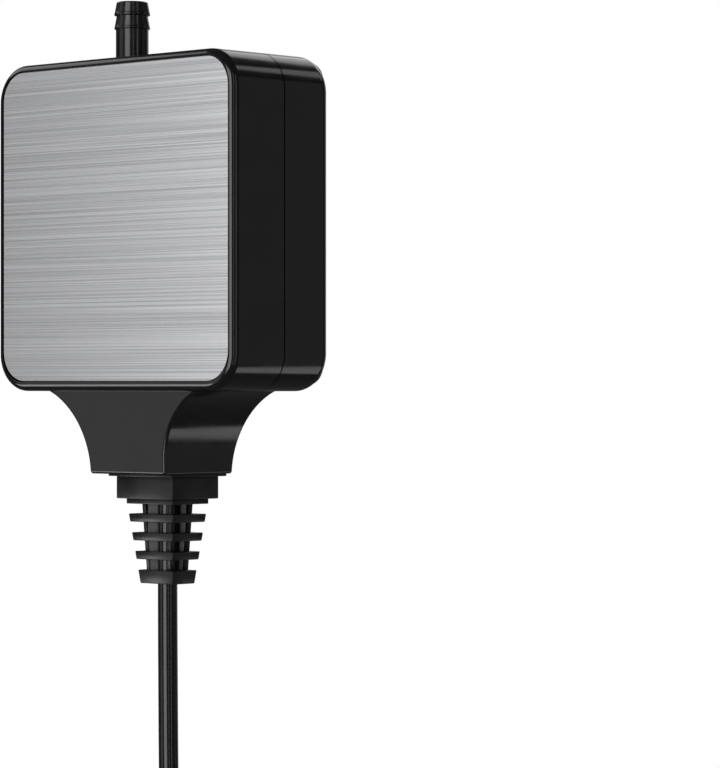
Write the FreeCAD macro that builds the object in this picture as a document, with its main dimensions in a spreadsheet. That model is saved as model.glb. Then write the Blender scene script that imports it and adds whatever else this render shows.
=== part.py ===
import FreeCAD, Part
import math
import os
import re
import Sketcher

# A small mains-powered aquarium air pump, hung by its flat back, with its cord put away
# in a tied hank. Millimetres, +Z up, the face plate towards -Y, +X to the right. The
# origin is the centre of the flat rear face, which a double suction cup holds on glass.

# ---------------------------------------------------------------- driving sizes

SIZES = [
    # housing
    ("body_width", 51.4, "outside width of the housing"),
    ("body_height", 50.0, "outside height of the housing, without the neck"),
    ("front_depth", 10.7, "parting plane to the front rim"),
    ("rear_depth", 10.1, "parting plane to the flat back"),
    ("corner_radius", 5.7, "outside corners, seen from the front"),
    ("wall", 1.6, "moulded wall of both shells"),
    ("front_rounding", 1.3, "rounding of the front rim"),
    ("rear_rounding", 2.0, "rounding round the back"),
    ("seam_width", 0.24, "visible groove along the parting plane"),
    ("seam_depth", 0.25, "depth of that groove"),
    ("lip_height", 1.0, "tongue of the rear shell inside the front one"),
    ("lip_thickness", 0.7, "thickness of the tongue"),
    ("lip_gap", 0.1, "clearance round the tongue"),
    # face plate
    ("plate_side_margin", 1.25, "rim left and right of the plate"),
    ("plate_top_margin", 1.1, "rim above the plate"),
    ("plate_bottom_margin", 1.5, "rim below the plate"),
    ("plate_corner", 4.5, "corner radius of the plate"),
    ("plate_thickness", 0.5, "brushed aluminium sheet"),
    ("plate_gap", 0.15, "gap between the plate and the rim"),
    ("plate_edge", 0.12, "broken front edge of the plate"),
    ("plate_recess", 0.8, "depth of the seat in the front shell"),
    ("plate_wall", 1.4, "front wall behind the plate"),
    ("adhesive_thickness", 0.1, "film under the plate"),
    ("adhesive_inset", 1.0, "film edge inside the plate edge"),
    # neck below the housing
    ("neck_width", 16.4, "width at the bottom of the neck"),
    ("neck_height", 12.5, "housing bottom to neck bottom"),
    ("neck_flare_radius", 12.6, "hollow flare left and right"),
    ("neck_flare_drop", 11.7, "housing bottom down to the flare's centre"),
    ("neck_top_depth", 17.0, "front to back where the neck leaves the housing"),
    ("neck_bottom_depth", 14.3, "front to back at the neck bottom"),
    ("neck_rounding", 0.45, "edges of the neck"),
    ("neck_forward", 0.3, "neck centre in front of the parting plane"),
    ("neck_floor", 2.0, "bottom wall of the neck"),
    # housing screws
    ("screw_inset", 4.1, "screw axes from the housing's sides, top and bottom"),
    ("rear_boss_radius", 3.2, "bosses of the rear shell"),
    ("front_boss_radius", 2.5, "bosses of the front shell"),
    ("head_pocket_depth", 3.5, "sunk screw head below the back"),
    ("head_pocket_gap", 0.25, "round the sunk screw head"),
    ("shank_gap", 0.2, "round the shank in the rear shell"),
    ("housing_head_radius", 2.1, "housing screw head"),
    ("housing_head_height", 1.6, "housing screw head"),
    ("housing_shank_radius", 1.1, "housing screw thread"),
    ("housing_shank_length", 12.0, "housing screw under the head"),
    ("pilot_spare", 0.8, "pilot holes past the housing screws' ends"),
    # outlet nozzle
    ("nozzle_x", -6.7, "nozzle axis, left of the middle"),
    ("nozzle_radius", 2.5, "plain shaft"),
    ("nozzle_height", 9.5, "housing top to nozzle end"),
    ("barb_step", 0.25, "crest of each barb outside the shaft"),
    ("barb_pitch", 2.1, "end to first crest, and crest to crest"),
    ("barb_land", 0.35, "straight land on each crest"),
    ("barb_draft", 0.1, "small end of each barb inside the shaft"),
    ("nozzle_edge", 0.3, "chamfer at the end"),
    ("nozzle_bore", 1.3, "air passage radius"),
    ("nozzle_gap", 0.05, "shaft in the shells"),
    ("flange_radius", 4.2, "flange inside the housing"),
    ("flange_height", 1.0, "flange inside the housing"),
    ("seal_height", 0.5, "rubber washer above the flange"),
    ("spigot_radius", 1.8, "spigots inside the duct"),
    ("nozzle_spigot", 1.5, "spigot under the flange"),
    # pump unit
    ("pump_z", -2.5, "centre of the pump unit"),
    ("chamber_width", 33.0, "square chamber block"),
    ("chamber_depth", 9.6, "block, front to back"),
    ("chamber_corner", 2.0, "corners of the block and the clamp frames"),
    ("surround_rim", 1.3, "rubber surround outside the disc"),
    ("seat_depth", 2.0, "seat for each rubber surround"),
    ("surround_grip", 1.3, "rubber surround over the disc's edge"),
    ("surround_gap", 0.1, "surround in its seat"),
    ("disc_radius", 13.5, "brass disc"),
    ("disc_thickness", 0.25, "brass disc"),
    ("ceramic_margin", 2.2, "ceramic inside the air chamber's edge"),
    ("ceramic_thickness", 0.25, "piezo ceramic"),
    ("clamp_thickness", 1.2, "clamp frames"),
    ("clamp_screw_inset", 2.6, "clamp screws from the block's sides"),
    ("clamp_head_radius", 1.7, "clamp screw head"),
    ("clamp_head_height", 1.1, "clamp screw head"),
    ("clamp_shank_radius", 0.8, "clamp screw thread"),
    ("clamp_shank_length", 4.7, "clamp screw under the head"),
    ("pad_radius", 2.0, "rubber isolation pads"),
    # valves
    ("valve_x", 6.7, "ports left and right of the middle"),
    ("port_radius", 1.2, "valve ports"),
    ("valve_room", 2.6, "height of the room in which a flap lifts"),
    ("valve_room_length", 6.0, "room along X"),
    ("valve_room_width", 4.8, "room along Y"),
    ("flap_length", 5.0, "silicone flap"),
    ("flap_width", 4.0, "silicone flap"),
    ("flap_root", 0.5, "flap root to the end of its room"),
    ("flap_room_overlap", 0.1, "room past the port, on the far side of the root"),
    ("gasket_thickness", 0.4, "gasket and flaps"),
    ("cover_length", 29.0, "valve cover along X"),
    ("cover_depth", 8.4, "valve cover along Y"),
    ("cover_height", 4.0, "valve cover"),
    ("cover_screw_inset", 2.9, "cover screws from the cover's ends"),
    ("cover_head_radius", 1.6, "cover screw head"),
    ("cover_head_height", 1.1, "cover screw head"),
    ("cover_shank_radius", 0.8, "cover screw thread"),
    ("cover_shank_length", 8.0, "cover screw under the head"),
    ("cover_spigot", 1.6, "spigot on the cover"),
    ("duct_wall", 1.2, "silicone duct"),
    # air inlet
    ("inlet_rise", 6.2, "middle of the inlet slots above the housing's bottom"),
    ("inlet_pitch", 1.8, "slot to slot"),
    ("inlet_slot_height", 0.9, "one slot"),
    ("inlet_slot_length", 11.0, "one slot"),
    ("filter_width", 14.0, "felt filter"),
    ("filter_height", 6.4, "felt filter"),
    ("filter_thickness", 1.4, "felt filter"),
    ("filter_frame", 0.8, "rib round the filter"),
    ("filter_gap", 0.1, "filter in its rib"),
    # electrics
    ("board_gap", 3.1, "between the pump unit and the circuit board"),
    ("board_thickness", 1.0, "circuit board"),
    ("board_height", 24.0, "circuit board"),
    ("board_centre_z", -1.0, "circuit board"),
    ("board_end_gap", 1.0, "board edges from the front and back walls"),
    ("rib_thickness", 0.8, "ribs that hold the board"),
    ("rib_height", 2.4, "ribs that hold the board"),
    ("rib_length", 7.0, "ribs that hold the board"),
    ("rib_gap", 0.1, "board between its ribs"),
    ("resistor_radius", 1.15, "resistor body"),
    ("resistor_length", 6.2, "resistor body"),
    ("fuse_radius", 1.3, "fuse body"),
    ("fuse_length", 8.4, "fuse body"),
    ("pin_radius", 0.3, "component wires"),
    ("supply_lead_radius", 0.55, "insulated conductors of the cord"),
    ("supply_lead_pitch", 1.5, "conductor to conductor along the housing"),
    ("supply_lead_shift", 1.6, "conductors in front of the cord's axis"),
    ("core_pitch", 1.4, "conductor to conductor in the cord's end"),
    ("disc_lead_radius", 0.4, "wires to the discs"),
    ("disc_lead_inset", 2.0, "ceramics' top edge to the wires' ends"),
    ("disc_lead_x", 3.5, "where the wires meet the ceramics"),
    ("disc_lead_lift", 0.8, "wire centre above the clamp frame"),
    # strain relief
    ("relief_back", 1.0, "cord axis behind the parting plane"),
    ("relief_gap", 0.05, "stem in the neck floor"),
    ("anchor_width", 11.6, "flange inside the neck"),
    ("anchor_gap", 0.05, "flange to the neck's rear wall"),
    ("anchor_height", 1.8, "flange inside the neck"),
    ("stem_width", 9.0, "through the neck floor"),
    ("stem_depth", 7.2, "through the neck floor"),
    ("skirt_width", 13.8, "thin skirt under the neck"),
    ("skirt_depth", 11.6, "thin skirt under the neck"),
    ("skirt_height", 0.4, "thin skirt under the neck"),
    ("collar_width", 12.2, "collar block"),
    ("collar_depth", 9.8, "collar block"),
    ("collar_height", 3.4, "collar block under the skirt"),
    ("shoulder_width", 10.0, "thin fin under the collar"),
    ("shoulder_depth", 7.7, "thin fin under the collar"),
    ("shoulder_height", 0.8, "thin fin under the collar"),
    ("fin_drop", 6.1, "neck bottom to the first fin"),
    ("fin_pitch", 2.85, "fin to fin"),
    ("fin_height", 1.25, "one fin"),
    ("end_block_height", 2.05, "end block"),
    ("fin_top_width", 9.6, "taper at the first fin"),
    ("fin_top_depth", 7.2, "taper at the first fin"),
    ("fin_end_width", 7.0, "taper at the end"),
    ("fin_end_depth", 4.75, "taper at the end"),
    ("core_top_width", 6.4, "ladder between the fins, at its top"),
    ("core_top_depth", 4.7, "ladder between the fins, at its top"),
    ("core_end_width", 5.2, "ladder between the fins, at its end"),
    ("core_end_depth", 3.8, "ladder between the fins, at its end"),
    ("post", 0.75, "corner posts of the ladder"),
    ("web_thickness", 0.6, "webs across the ladder, corner to corner"),
    ("web_inset", 0.3, "webs short of the ladder's corners at its end"),
    # cord clamp
    ("clamp_bar_width", 13.2, "cord clamp and its saddle"),
    ("clamp_bar_height", 3.5, "cord clamp and its saddle, up and down"),
    ("clamp_bar_thickness", 2.4, "cord clamp"),
    ("clamp_bar_drop", 4.0, "housing bottom to the top of the clamp"),
    ("clamp_pinch", 0.8, "clamp and saddle from the cord's axis"),
    ("bar_screw_x", 4.6, "clamp bar screws"),
    ("bar_head_radius", 1.5, "clamp bar screw head"),
    ("bar_head_height", 1.0, "clamp bar screw head"),
    ("bar_shank_radius", 0.8, "clamp bar screw thread"),
    ("bar_shank_length", 7.5, "clamp bar screw under the head"),
    # cord, hank and plug
    ("cord_radius", 1.5, "round two-core cord"),
    ("hank_top_z", -86.0, "top of the folded cord"),
    ("hank_lobe_radius", 14.1, "outside of the folds"),
    ("hank_run", 46.0, "fold centre to fold centre"),
    ("hank_depth", 15.6, "five layers of cord"),
    ("hank_waist", 12.6, "four strands side by side"),
    ("waist_height", 9.0, "straight part of the waist"),
    ("tie_width", 5.0, "band of the tie"),
    ("tie_thickness", 0.9, "band of the tie"),
    ("plug_top_z", -173.5, "where the cord enters the plug"),
    ("plug_neck_height", 11.0, "tapered sleeve of the plug"),
    ("plug_neck_top", 5.2, "sleeve at the cord"),
    ("plug_neck_width", 12.0, "sleeve at the plug body"),
    ("plug_neck_depth", 8.0, "sleeve at the plug body"),
    ("plug_width", 22.0, "plug body"),
    ("plug_height", 19.0, "plug body"),
    ("plug_depth", 11.0, "plug body"),
    ("plug_corner", 4.0, "plug body corners"),
    ("plug_rounding", 1.2, "plug body edges"),
    ("blade_spacing", 12.7, "flat blades, middle to middle"),
    ("blade_width", 6.35, "flat blade"),
    ("blade_thickness", 1.5, "flat blade"),
    ("blade_length", 17.0, "flat blade"),
    ("blade_hole_radius", 1.6, "hole near the blade's end"),
    ("blade_hole_rise", 4.5, "hole above the blade's end"),
]
FIN_COUNT = 3
INLET_SLOT_COUNT = 3

# Hand-chosen points of the free cord: the straight drop, and the tail to the plug.
CORD_DROP_POINTS = [(0, -9.1, -29), (0, -9.1, -87.5)]
CORD_TAIL_POINTS = [(0, -9.1, -158.6), (1.2, -8.6, -163.4), (0.6, -9.5, -168.6), (0, -9.1, -173.5)]

doc = FreeCAD.newDocument("air_pump")
sheet = doc.addObject("Spreadsheet::Sheet", "sizes")
for row, (alias, value, note) in enumerate(SIZES, start=1):
    sheet.set(f"A{row}", alias)
    sheet.set(f"B{row}", str(value))
    sheet.setAlias(f"B{row}", alias)
    sheet.set(f"C{row}", note)
doc.recompute()
ALIASES = {alias for alias, value, note in SIZES}

# Places that follow from the driving sizes, written once as formulas.
PARTING_Y = "(-rear_depth)"
FRONT_Y = "(-rear_depth - front_depth)"
FRONT_INNER_Y = "(-rear_depth - front_depth + plate_recess + plate_wall)"
REAR_INNER_Y = "(-wall)"
TOP_Z = "(body_height / 2)"
BOTTOM_Z = "(-body_height / 2)"
NECK_BOTTOM_Z = "(-body_height / 2 - neck_height)"
NECK_Y = "(-rear_depth - neck_forward)"
RELIEF_Y = "(-rear_depth + relief_back)"
ANCHOR_DEPTH = f"(2 * ({NECK_Y} + neck_bottom_depth / 2 - wall - anchor_gap - {RELIEF_Y}))"
RELIEF_END_Z = f"({NECK_BOTTOM_Z} - fin_drop - {FIN_COUNT} * fin_pitch - end_block_height)"
PLATE_Z = "((plate_bottom_margin - plate_top_margin) / 2)"
PLATE_WIDTH = "(body_width - 2 * plate_side_margin)"
PLATE_HEIGHT = "(body_height - plate_top_margin - plate_bottom_margin)"
BLOCK_TOP_Z = "(pump_z + chamber_width / 2)"
COVER_Z = f"({BLOCK_TOP_Z} + gasket_thickness)"
COVER_TOP_Z = f"({COVER_Z} + cover_height)"
CLAMP_BAR_Z = f"({BOTTOM_Z} - clamp_bar_drop - clamp_bar_height)"
SCREW_X = "(body_width / 2 - screw_inset)"
SCREW_Z = "(body_height / 2 - screw_inset)"
BARB_RADIUS = "(nozzle_radius + barb_step)"
SEAT_RADIUS = "(disc_radius + surround_rim)"
CHAMBER_RADIUS = "(disc_radius - surround_grip)"
CERAMIC_RADIUS = f"({CHAMBER_RADIUS} - ceramic_margin)"
CLAMP_SCREW = "(chamber_width / 2 - clamp_screw_inset)"
PAD_X = f"(({CHAMBER_RADIUS} + chamber_width / 2) / 2)"
VALVE_ROOM_X = "(valve_x + (flap_root - flap_room_overlap) / 2)"
COVER_SCREW_X = "(cover_length / 2 - cover_screw_inset)"
INLET_Z = f"({BOTTOM_Z} + inlet_rise)"
BOARD_X = "(chamber_width / 2 + board_gap)"


# ---------------------------------------------------------------- helpers

def formula(text):
    """Point each size's name in a formula at its cell."""
    def cell(match):
        word = match.group()
        return "sizes." + word if word in ALIASES else word
    return re.sub(r"[a-z_][a-z_0-9]*", cell, str(text))


def bind(thing, **formulas):
    """Tie properties to the sheet; a double underscore stands for a dot."""
    for name, text in formulas.items():
        thing.setExpression(name.replace("__", "."), formula(text))


def value(text):
    """The number that a formula has now, for shapes made by Part's own functions."""
    return float(sheet.evalExpression(formula(text)))


TURNS = {
    "Z": FreeCAD.Rotation(),
    "Y": FreeCAD.Rotation(FreeCAD.Vector(1, 0, 0), -90),
    "-Y": FreeCAD.Rotation(FreeCAD.Vector(1, 0, 0), 90),
    "X": FreeCAD.Rotation(FreeCAD.Vector(0, 1, 0), 90),
}


def put(thing, at, facing="Z"):
    """Turn a piece's own Z towards an axis, and tie its place to the sheet."""
    thing.Placement = FreeCAD.Placement(FreeCAD.Vector(), TURNS[facing])
    x, y, z = at
    bind(thing, Placement__Base__x=x, Placement__Base__y=y, Placement__Base__z=z)
    return thing


def box(name, middle, length, width, height):
    """A block on the middle of its underside."""
    piece = doc.addObject("Part::Box", name)
    bind(piece, Length=length, Width=width, Height=height)
    x, y, z = middle
    return put(piece, (f"{x} - ({length}) / 2", f"{y} - ({width}) / 2", z))


def cylinder(name, at, radius, height, facing="Z"):
    piece = doc.addObject("Part::Cylinder", name)
    bind(piece, Radius=radius, Height=height)
    return put(piece, at, facing)


def cone(name, at, low_radius, high_radius, height, facing="Z"):
    piece = doc.addObject("Part::Cone", name)
    bind(piece, Radius1=low_radius, Radius2=high_radius, Height=height)
    return put(piece, at, facing)


def taper(name, top, height, top_size, end_size):
    """A four-sided taper that hangs from the middle of its top face."""
    piece = doc.addObject("Part::Wedge", name)
    top_width, top_depth = top_size
    end_width, end_depth = end_size
    bind(piece, Xmin=f"-({top_width}) / 2", Xmax=f"({top_width}) / 2")
    bind(piece, Zmin=f"-({top_depth}) / 2", Zmax=f"({top_depth}) / 2")
    bind(piece, X2min=f"-({end_width}) / 2", X2max=f"({end_width}) / 2")
    bind(piece, Z2min=f"-({end_depth}) / 2", Z2max=f"({end_depth}) / 2")
    bind(piece, Ymin="0", Ymax=height)
    return put(piece, top, "Y")


def join(name, *pieces):
    result = doc.addObject("Part::MultiFuse", name)
    result.Shapes = list(pieces)
    return result


def group(name, *pieces):
    """Separate solids that share one node."""
    result = doc.addObject("Part::Compound", name)
    result.Links = list(pieces)
    return result


def cut(name, base, *tools):
    result = doc.addObject("Part::Cut", name)
    result.Base = base
    result.Tool = tools[0] if len(tools) == 1 else join(name + "_tools", *tools)
    return result


def common(name, first, second):
    result = doc.addObject("Part::Common", name)
    result.Base = first
    result.Tool = second
    return result


def soft_edges(name, form, radius):
    """Round every edge of a form that is clear of its top face and its flares' upper ends."""
    doc.recompute()
    clear_z = form.Shape.BoundBox.ZMax - value("wall")
    result = doc.addObject("Part::Fillet", name)
    result.Base = form
    size = value(radius)
    result.Edges = [
        (number, size, size) for number, edge in enumerate(form.Shape.Edges, start=1)
        if edge.BoundBox.ZMin < clear_z
    ]
    return result


def rounded_rectangle(sketch, width, height, radius):
    """Four sides and four corner arcs, centred, with every size tied to the sheet."""
    half_w = value(width) / 2
    half_h = value(height) / 2
    r = value(radius)
    corners = [(1, -1, -90), (1, 1, 0), (-1, 1, 90), (-1, -1, 180)]
    side_ends = [
        ((-half_w + r, -half_h), (half_w - r, -half_h)),
        ((half_w, -half_h + r), (half_w, half_h - r)),
        ((half_w - r, half_h), (-half_w + r, half_h)),
        ((-half_w, half_h - r), (-half_w, -half_h + r)),
    ]
    for start, end in side_ends:
        sketch.addGeometry(Part.LineSegment(FreeCAD.Vector(*start, 0), FreeCAD.Vector(*end, 0)))
    for sign_x, sign_z, turn in corners:
        centre = FreeCAD.Vector(sign_x * (half_w - r), sign_z * (half_h - r), 0)
        circle = Part.Circle(centre, FreeCAD.Vector(0, 0, 1), r)
        start_angle = math.radians(turn)
        sketch.addGeometry(Part.ArcOfCircle(circle, start_angle, start_angle + math.pi / 2))
    for side in range(4):
        arc = 4 + side
        sketch.addConstraint(Sketcher.Constraint("Tangent", side, 2, arc, 1))
        sketch.addConstraint(Sketcher.Constraint("Tangent", arc, 2, (side + 1) % 4, 1))
        sketch.addConstraint(Sketcher.Constraint("Vertical" if side % 2 else "Horizontal", side))
    for arc in (5, 6, 7):
        sketch.addConstraint(Sketcher.Constraint("Equal", 4, arc))
    driven = [
        (Sketcher.Constraint("Radius", 4, r), radius),
        (Sketcher.Constraint("DistanceX", -1, 1, 1, 1, half_w), f"({width}) / 2"),
        (Sketcher.Constraint("DistanceX", 3, 1, -1, 1, half_w), f"({width}) / 2"),
        (Sketcher.Constraint("DistanceY", -1, 1, 2, 1, half_h), f"({height}) / 2"),
        (Sketcher.Constraint("DistanceY", 0, 1, -1, 1, half_h), f"({height}) / 2"),
    ]
    for constraint, text in driven:
        index = sketch.addConstraint(constraint)
        sketch.setExpression(f"Constraints[{index}]", formula(text))


def rounded_block(name, middle, width, height, radius, depth, forward=True, rounding=None):
    """A padded rounded rectangle that starts at a plane across Y and runs forward or back.

    rounding rounds the edges of its far face.
    """
    body = doc.addObject("PartDesign::Body", name)
    sketch = body.newObject("Sketcher::SketchObject", name + "_outline")
    plane = [item for item in body.Origin.OriginFeatures if item.Role == "XZ_Plane"][0]
    sketch.AttachmentSupport = [(plane, "")]
    sketch.MapMode = "FlatFace"
    rounded_rectangle(sketch, width, height, radius)
    pad = body.newObject("PartDesign::Pad", name + "_pad")
    pad.Profile = sketch
    pad.Reversed = not forward
    bind(pad, Length=depth)
    if rounding:
        doc.recompute()
        far_y = pad.Shape.BoundBox.YMin if forward else pad.Shape.BoundBox.YMax
        faces = [
            f"Face{number}" for number, face in enumerate(pad.Shape.Faces, start=1)
            if abs(face.BoundBox.YMin - far_y) < 1e-6 and abs(face.BoundBox.YMax - far_y) < 1e-6
        ]
        edge = body.newObject("PartDesign::Fillet", name + "_edge")
        edge.Base = (pad, faces)
        bind(edge, Radius=rounding)
        body.Tip = edge
    return put(body, middle)


def screw(name, kind, at, facing):
    """A pan-head screw with a cross recess; its place is under the head, facing its top."""
    head = cylinder(name + "_head", ("0", "0", "0"), f"{kind}_head_radius", f"{kind}_head_height")
    shank = cylinder(
        name + "_shank", ("0", "0", f"-{kind}_shank_length"),
        f"{kind}_shank_radius", f"{kind}_shank_length + {kind}_head_height / 2",
    )
    slot_z = f"{kind}_head_height / 2"
    long = f"{kind}_head_radius * 1.2"
    short = f"{kind}_head_radius * 0.3"
    slot_a = box(name + "_slot_a", ("0", "0", slot_z), long, short, f"{kind}_head_height")
    slot_b = box(name + "_slot_b", ("0", "0", slot_z), short, long, f"{kind}_head_height")
    blank = join(name + "_blank", head, shank)
    return put(cut(name, blank, slot_a, slot_b), at, facing)


def bent_wire(points):
    """Straight runs joined by tangent arcs; returns the path, its length and the radii."""
    corners = [FreeCAD.Vector(*point) for point in points]
    edges = []
    radii = []
    start = corners[0]
    for before, corner, after in zip(corners, corners[1:], corners[2:]):
        run_in = corner - before
        run_out = after - corner
        turn = run_in.getAngle(run_out)
        reach = 0.45 * min(run_in.Length, run_out.Length)
        radius = reach / math.tan(turn / 2)
        arc_start = corner - run_in.normalize() * reach
        arc_end = corner + run_out.normalize() * reach
        to_middle = (arc_start + arc_end) * 0.5 - corner
        bow = radius / math.cos(turn / 2) - radius
        arc_middle = corner + to_middle.normalize() * bow
        edges.append(Part.LineSegment(start, arc_start).toShape())
        edges.append(Part.Arc(arc_start, arc_middle, arc_end).toShape())
        radii.append(round(radius, 2))
        start = arc_end
    edges.append(Part.LineSegment(start, corners[-1]).toShape())
    return Part.Wire(edges), radii


def tube(name, points, radius):
    """A round tube along straight runs and tangent arcs."""
    path, radii = bent_wire(points)
    start = FreeCAD.Vector(*points[0])
    along = FreeCAD.Vector(*points[1]) - start
    ring = Part.Wire([Part.Circle(start, along, radius).toShape()])
    shape = path.makePipeShell([ring], True, False)
    expected = math.pi * radius ** 2 * path.Length
    if abs(shape.Volume - expected) > 0.01 * expected:
        raise RuntimeError(f"{name}: swept volume is off")
    print(f"{name}: path {path.Length:.2f} mm, bend radii {radii}")
    piece = doc.addObject("Part::Feature", name)
    piece.Shape = shape
    return piece


nodes = []


def finish(piece, node):
    """Name a finished sub-part; its label is its file's name."""
    piece.Label = node
    nodes.append(piece)


CORNERS = [(side_x, side_z) for side_x in (-1, 1) for side_z in (-1, 1)]


# ---------------------------------------------------------------- housing

def housing():
    """Both shells' common form: rounded case and flared neck, hollowed, without details."""
    front = rounded_block(
        "front_block", ("0", PARTING_Y, "0"), "body_width", "body_height",
        "corner_radius", "front_depth", True, "front_rounding",
    )
    rear = rounded_block(
        "rear_block", ("0", PARTING_Y, "0"), "body_width", "body_height",
        "corner_radius", "rear_depth", False, "rear_rounding",
    )
    flare_x = "(neck_width / 2 + neck_flare_radius)"
    flare_z = f"({BOTTOM_Z} - neck_flare_drop)"
    neck_slope = "(neck_top_depth - neck_bottom_depth) / neck_height"
    root_depth = f"neck_top_depth + {neck_slope} * wall"
    neck_block = taper(
        "neck_block", ("0", NECK_Y, f"{BOTTOM_Z} + wall"), "neck_height + wall",
        (f"2 * {flare_x}", root_depth), (f"2 * {flare_x}", "neck_bottom_depth"),
    )
    neck_room = taper(
        "neck_room_block", ("0", NECK_Y, f"{BOTTOM_Z} + 2 * wall"), "neck_height + 2 * wall - neck_floor",
        (f"2 * {flare_x}", f"{root_depth} - 2 * wall"),
        (f"2 * {flare_x}", "neck_bottom_depth - 2 * wall"),
    )
    outer_flares = []
    inner_flares = []
    for side, sign in (("left", "-"), ("right", "")):
        axis = (f"{sign}{flare_x}", FRONT_Y, flare_z)
        long = "front_depth + rear_depth"
        outer_flares.append(cylinder(f"{side}_flare", axis, "neck_flare_radius", long, "Y"))
        inner_flares.append(cylinder(f"{side}_flare_wall", axis, "neck_flare_radius + wall", long, "Y"))
    neck = soft_edges("neck", cut("neck_form", neck_block, *outer_flares), "neck_rounding")
    neck_hollow = cut("neck_hollow", neck_room, *inner_flares)
    room = rounded_block(
        "room", ("0", REAR_INNER_Y, "0"), "body_width - 2 * wall", "body_height - 2 * wall",
        "corner_radius - wall", f"{REAR_INNER_Y} - {FRONT_INNER_Y}",
    )
    solid = join("case_form", front, rear, neck)
    return cut("case", solid, room, neck_hollow)


def seam_tool():
    """The fine groove that shows where the shells meet."""
    half = "seam_width / 2"
    around = rounded_block(
        "seam_around", ("0", f"{PARTING_Y} + {half}", "0"), "body_width + 2", "body_height + 2",
        "corner_radius", "seam_width",
    )
    core = rounded_block(
        "seam_core", ("0", f"{PARTING_Y} + {half}", "0"), "body_width - 2 * seam_depth",
        "body_height - 2 * seam_depth", "corner_radius - seam_depth", "seam_width",
    )
    spare = box(
        "seam_neck", ("0", PARTING_Y, f"{BOTTOM_Z} - 2"), "neck_width + 1.2 * neck_flare_radius",
        "seam_width + 1", "2 + seam_depth",
    )
    return cut("seam", around, core, spare)


def lip_ring(name, gap, height):
    """The tongue of the rear shell, and with a gap the groove that takes it."""
    outer = rounded_block(
        name + "_outer", ("0", PARTING_Y, "0"), f"body_width - 2 * wall + 2 * (lip_thickness + {gap})",
        f"body_height - 2 * wall + 2 * (lip_thickness + {gap})",
        f"corner_radius - wall + lip_thickness + {gap}", height,
    )
    inner = rounded_block(
        name + "_inner", ("0", PARTING_Y, "0"), "body_width - 2 * wall", "body_height - 2 * wall",
        "corner_radius - wall", height,
    )
    passage = box(
        name + "_passage", ("0", PARTING_Y, f"{BOTTOM_Z} - wall"), "2 * neck_flare_radius + 2",
        "4 * lip_height", "3 * wall",
    )
    return cut(name, outer, inner, passage)


def half_space(name, forward):
    """A block that holds everything on one side of the parting plane."""
    depth = "front_depth + 1" if forward else "rear_depth + 1"
    y = f"{PARTING_Y} - ({depth}) / 2" if forward else f"{PARTING_Y} + ({depth}) / 2"
    return box(
        name, ("0", y, f"{NECK_BOTTOM_Z} - 1"), "body_width + 2", depth,
        "body_height + neck_height + 2",
    )


def board_ribs(name, wall_y, into):
    """Two ribs that hold the circuit board's edge; into is the sign of Y inwards."""
    y = f"{wall_y} + {into} (rib_height / 2 - wall / 4)"
    ribs = []
    for side, x in (
        ("inner", f"{BOARD_X} - rib_gap - rib_thickness / 2"),
        ("outer", f"{BOARD_X} + board_thickness + rib_gap + rib_thickness / 2"),
    ):
        middle = (x, y, "board_centre_z - rib_length / 2")
        ribs.append(box(f"{name}_{side}", middle, "rib_thickness", "rib_height + wall / 2", "rib_length"))
    return ribs


def nozzle_hole(name):
    """The round seat for the nozzle's shaft, half in each shell."""
    low = f"{TOP_Z} - wall - 0.5"
    return cylinder(name, ("nozzle_x", PARTING_Y, low), "nozzle_radius + nozzle_gap", "wall + 2")


def relief_hole(name):
    low = f"{NECK_BOTTOM_Z} - 1"
    gap = "2 * relief_gap"
    return box(name, ("0", RELIEF_Y, low), f"stem_width + {gap}", f"stem_depth + {gap}", "neck_floor + 2")


def front_shell(case, seam):
    half = common("front_half", case, half_space("front_space", True))
    additions = board_ribs("front_rib", FRONT_INNER_Y, "+")
    tools = [seam, lip_ring("lip_groove", "lip_gap", "lip_height + 2 * lip_gap")]
    for side_x, side_z in CORNERS:
        name = f"front_boss_{side_x}_{side_z}"
        place = (f"{side_x} * {SCREW_X}", FRONT_INNER_Y, f"{side_z} * {SCREW_Z}")
        long = f"{PARTING_Y} - {FRONT_INNER_Y}"
        root = (place[0], f"{FRONT_INNER_Y} - wall / 4", place[2])
        additions.append(cylinder(name, root, "front_boss_radius", f"{long} + wall / 4", "Y"))
        pilot_y = "-head_pocket_depth - housing_shank_length - pilot_spare"
        pilot = (place[0], pilot_y, place[2])
        tools.append(cylinder(
            name + "_pilot", pilot, "housing_shank_radius", "housing_shank_length", "Y",
        ))
    saddle_root = f"({NECK_Y} - neck_bottom_depth / 2 + wall / 4)"
    saddle_depth = f"{RELIEF_Y} - clamp_pinch - {saddle_root}"
    saddle_y = f"({RELIEF_Y} - clamp_pinch + {saddle_root}) / 2"
    additions.append(box(
        "saddle", ("0", saddle_y, CLAMP_BAR_Z), "clamp_bar_width", saddle_depth, "clamp_bar_height",
    ))
    tools.append(cylinder(
        "saddle_groove", ("0", RELIEF_Y, f"{CLAMP_BAR_Z} - 1"), "cord_radius", "clamp_bar_height + 2",
    ))
    for sign in (-1, 1):
        low_y = f"{RELIEF_Y} + clamp_pinch - bar_shank_length"
        place = (f"{sign} * bar_screw_x", low_y, f"{CLAMP_BAR_Z} + clamp_bar_height / 2")
        tools.append(cylinder(
            f"saddle_pilot_{sign}", place, "bar_shank_radius", "bar_shank_length + 1", "Y",
        ))
    tools.append(rounded_block(
        "plate_seat", ("0", f"{FRONT_Y} + plate_recess", PLATE_Z), f"{PLATE_WIDTH} + 2 * plate_gap",
        f"{PLATE_HEIGHT} + 2 * plate_gap", "plate_corner + plate_gap", "plate_recess + 1",
    ))
    tools.append(nozzle_hole("front_nozzle_hole"))
    tools.append(relief_hole("front_relief_hole"))
    finish(cut("front_shell_solid", join("front_shell_blank", half, *additions), *tools), "front_shell")


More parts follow.
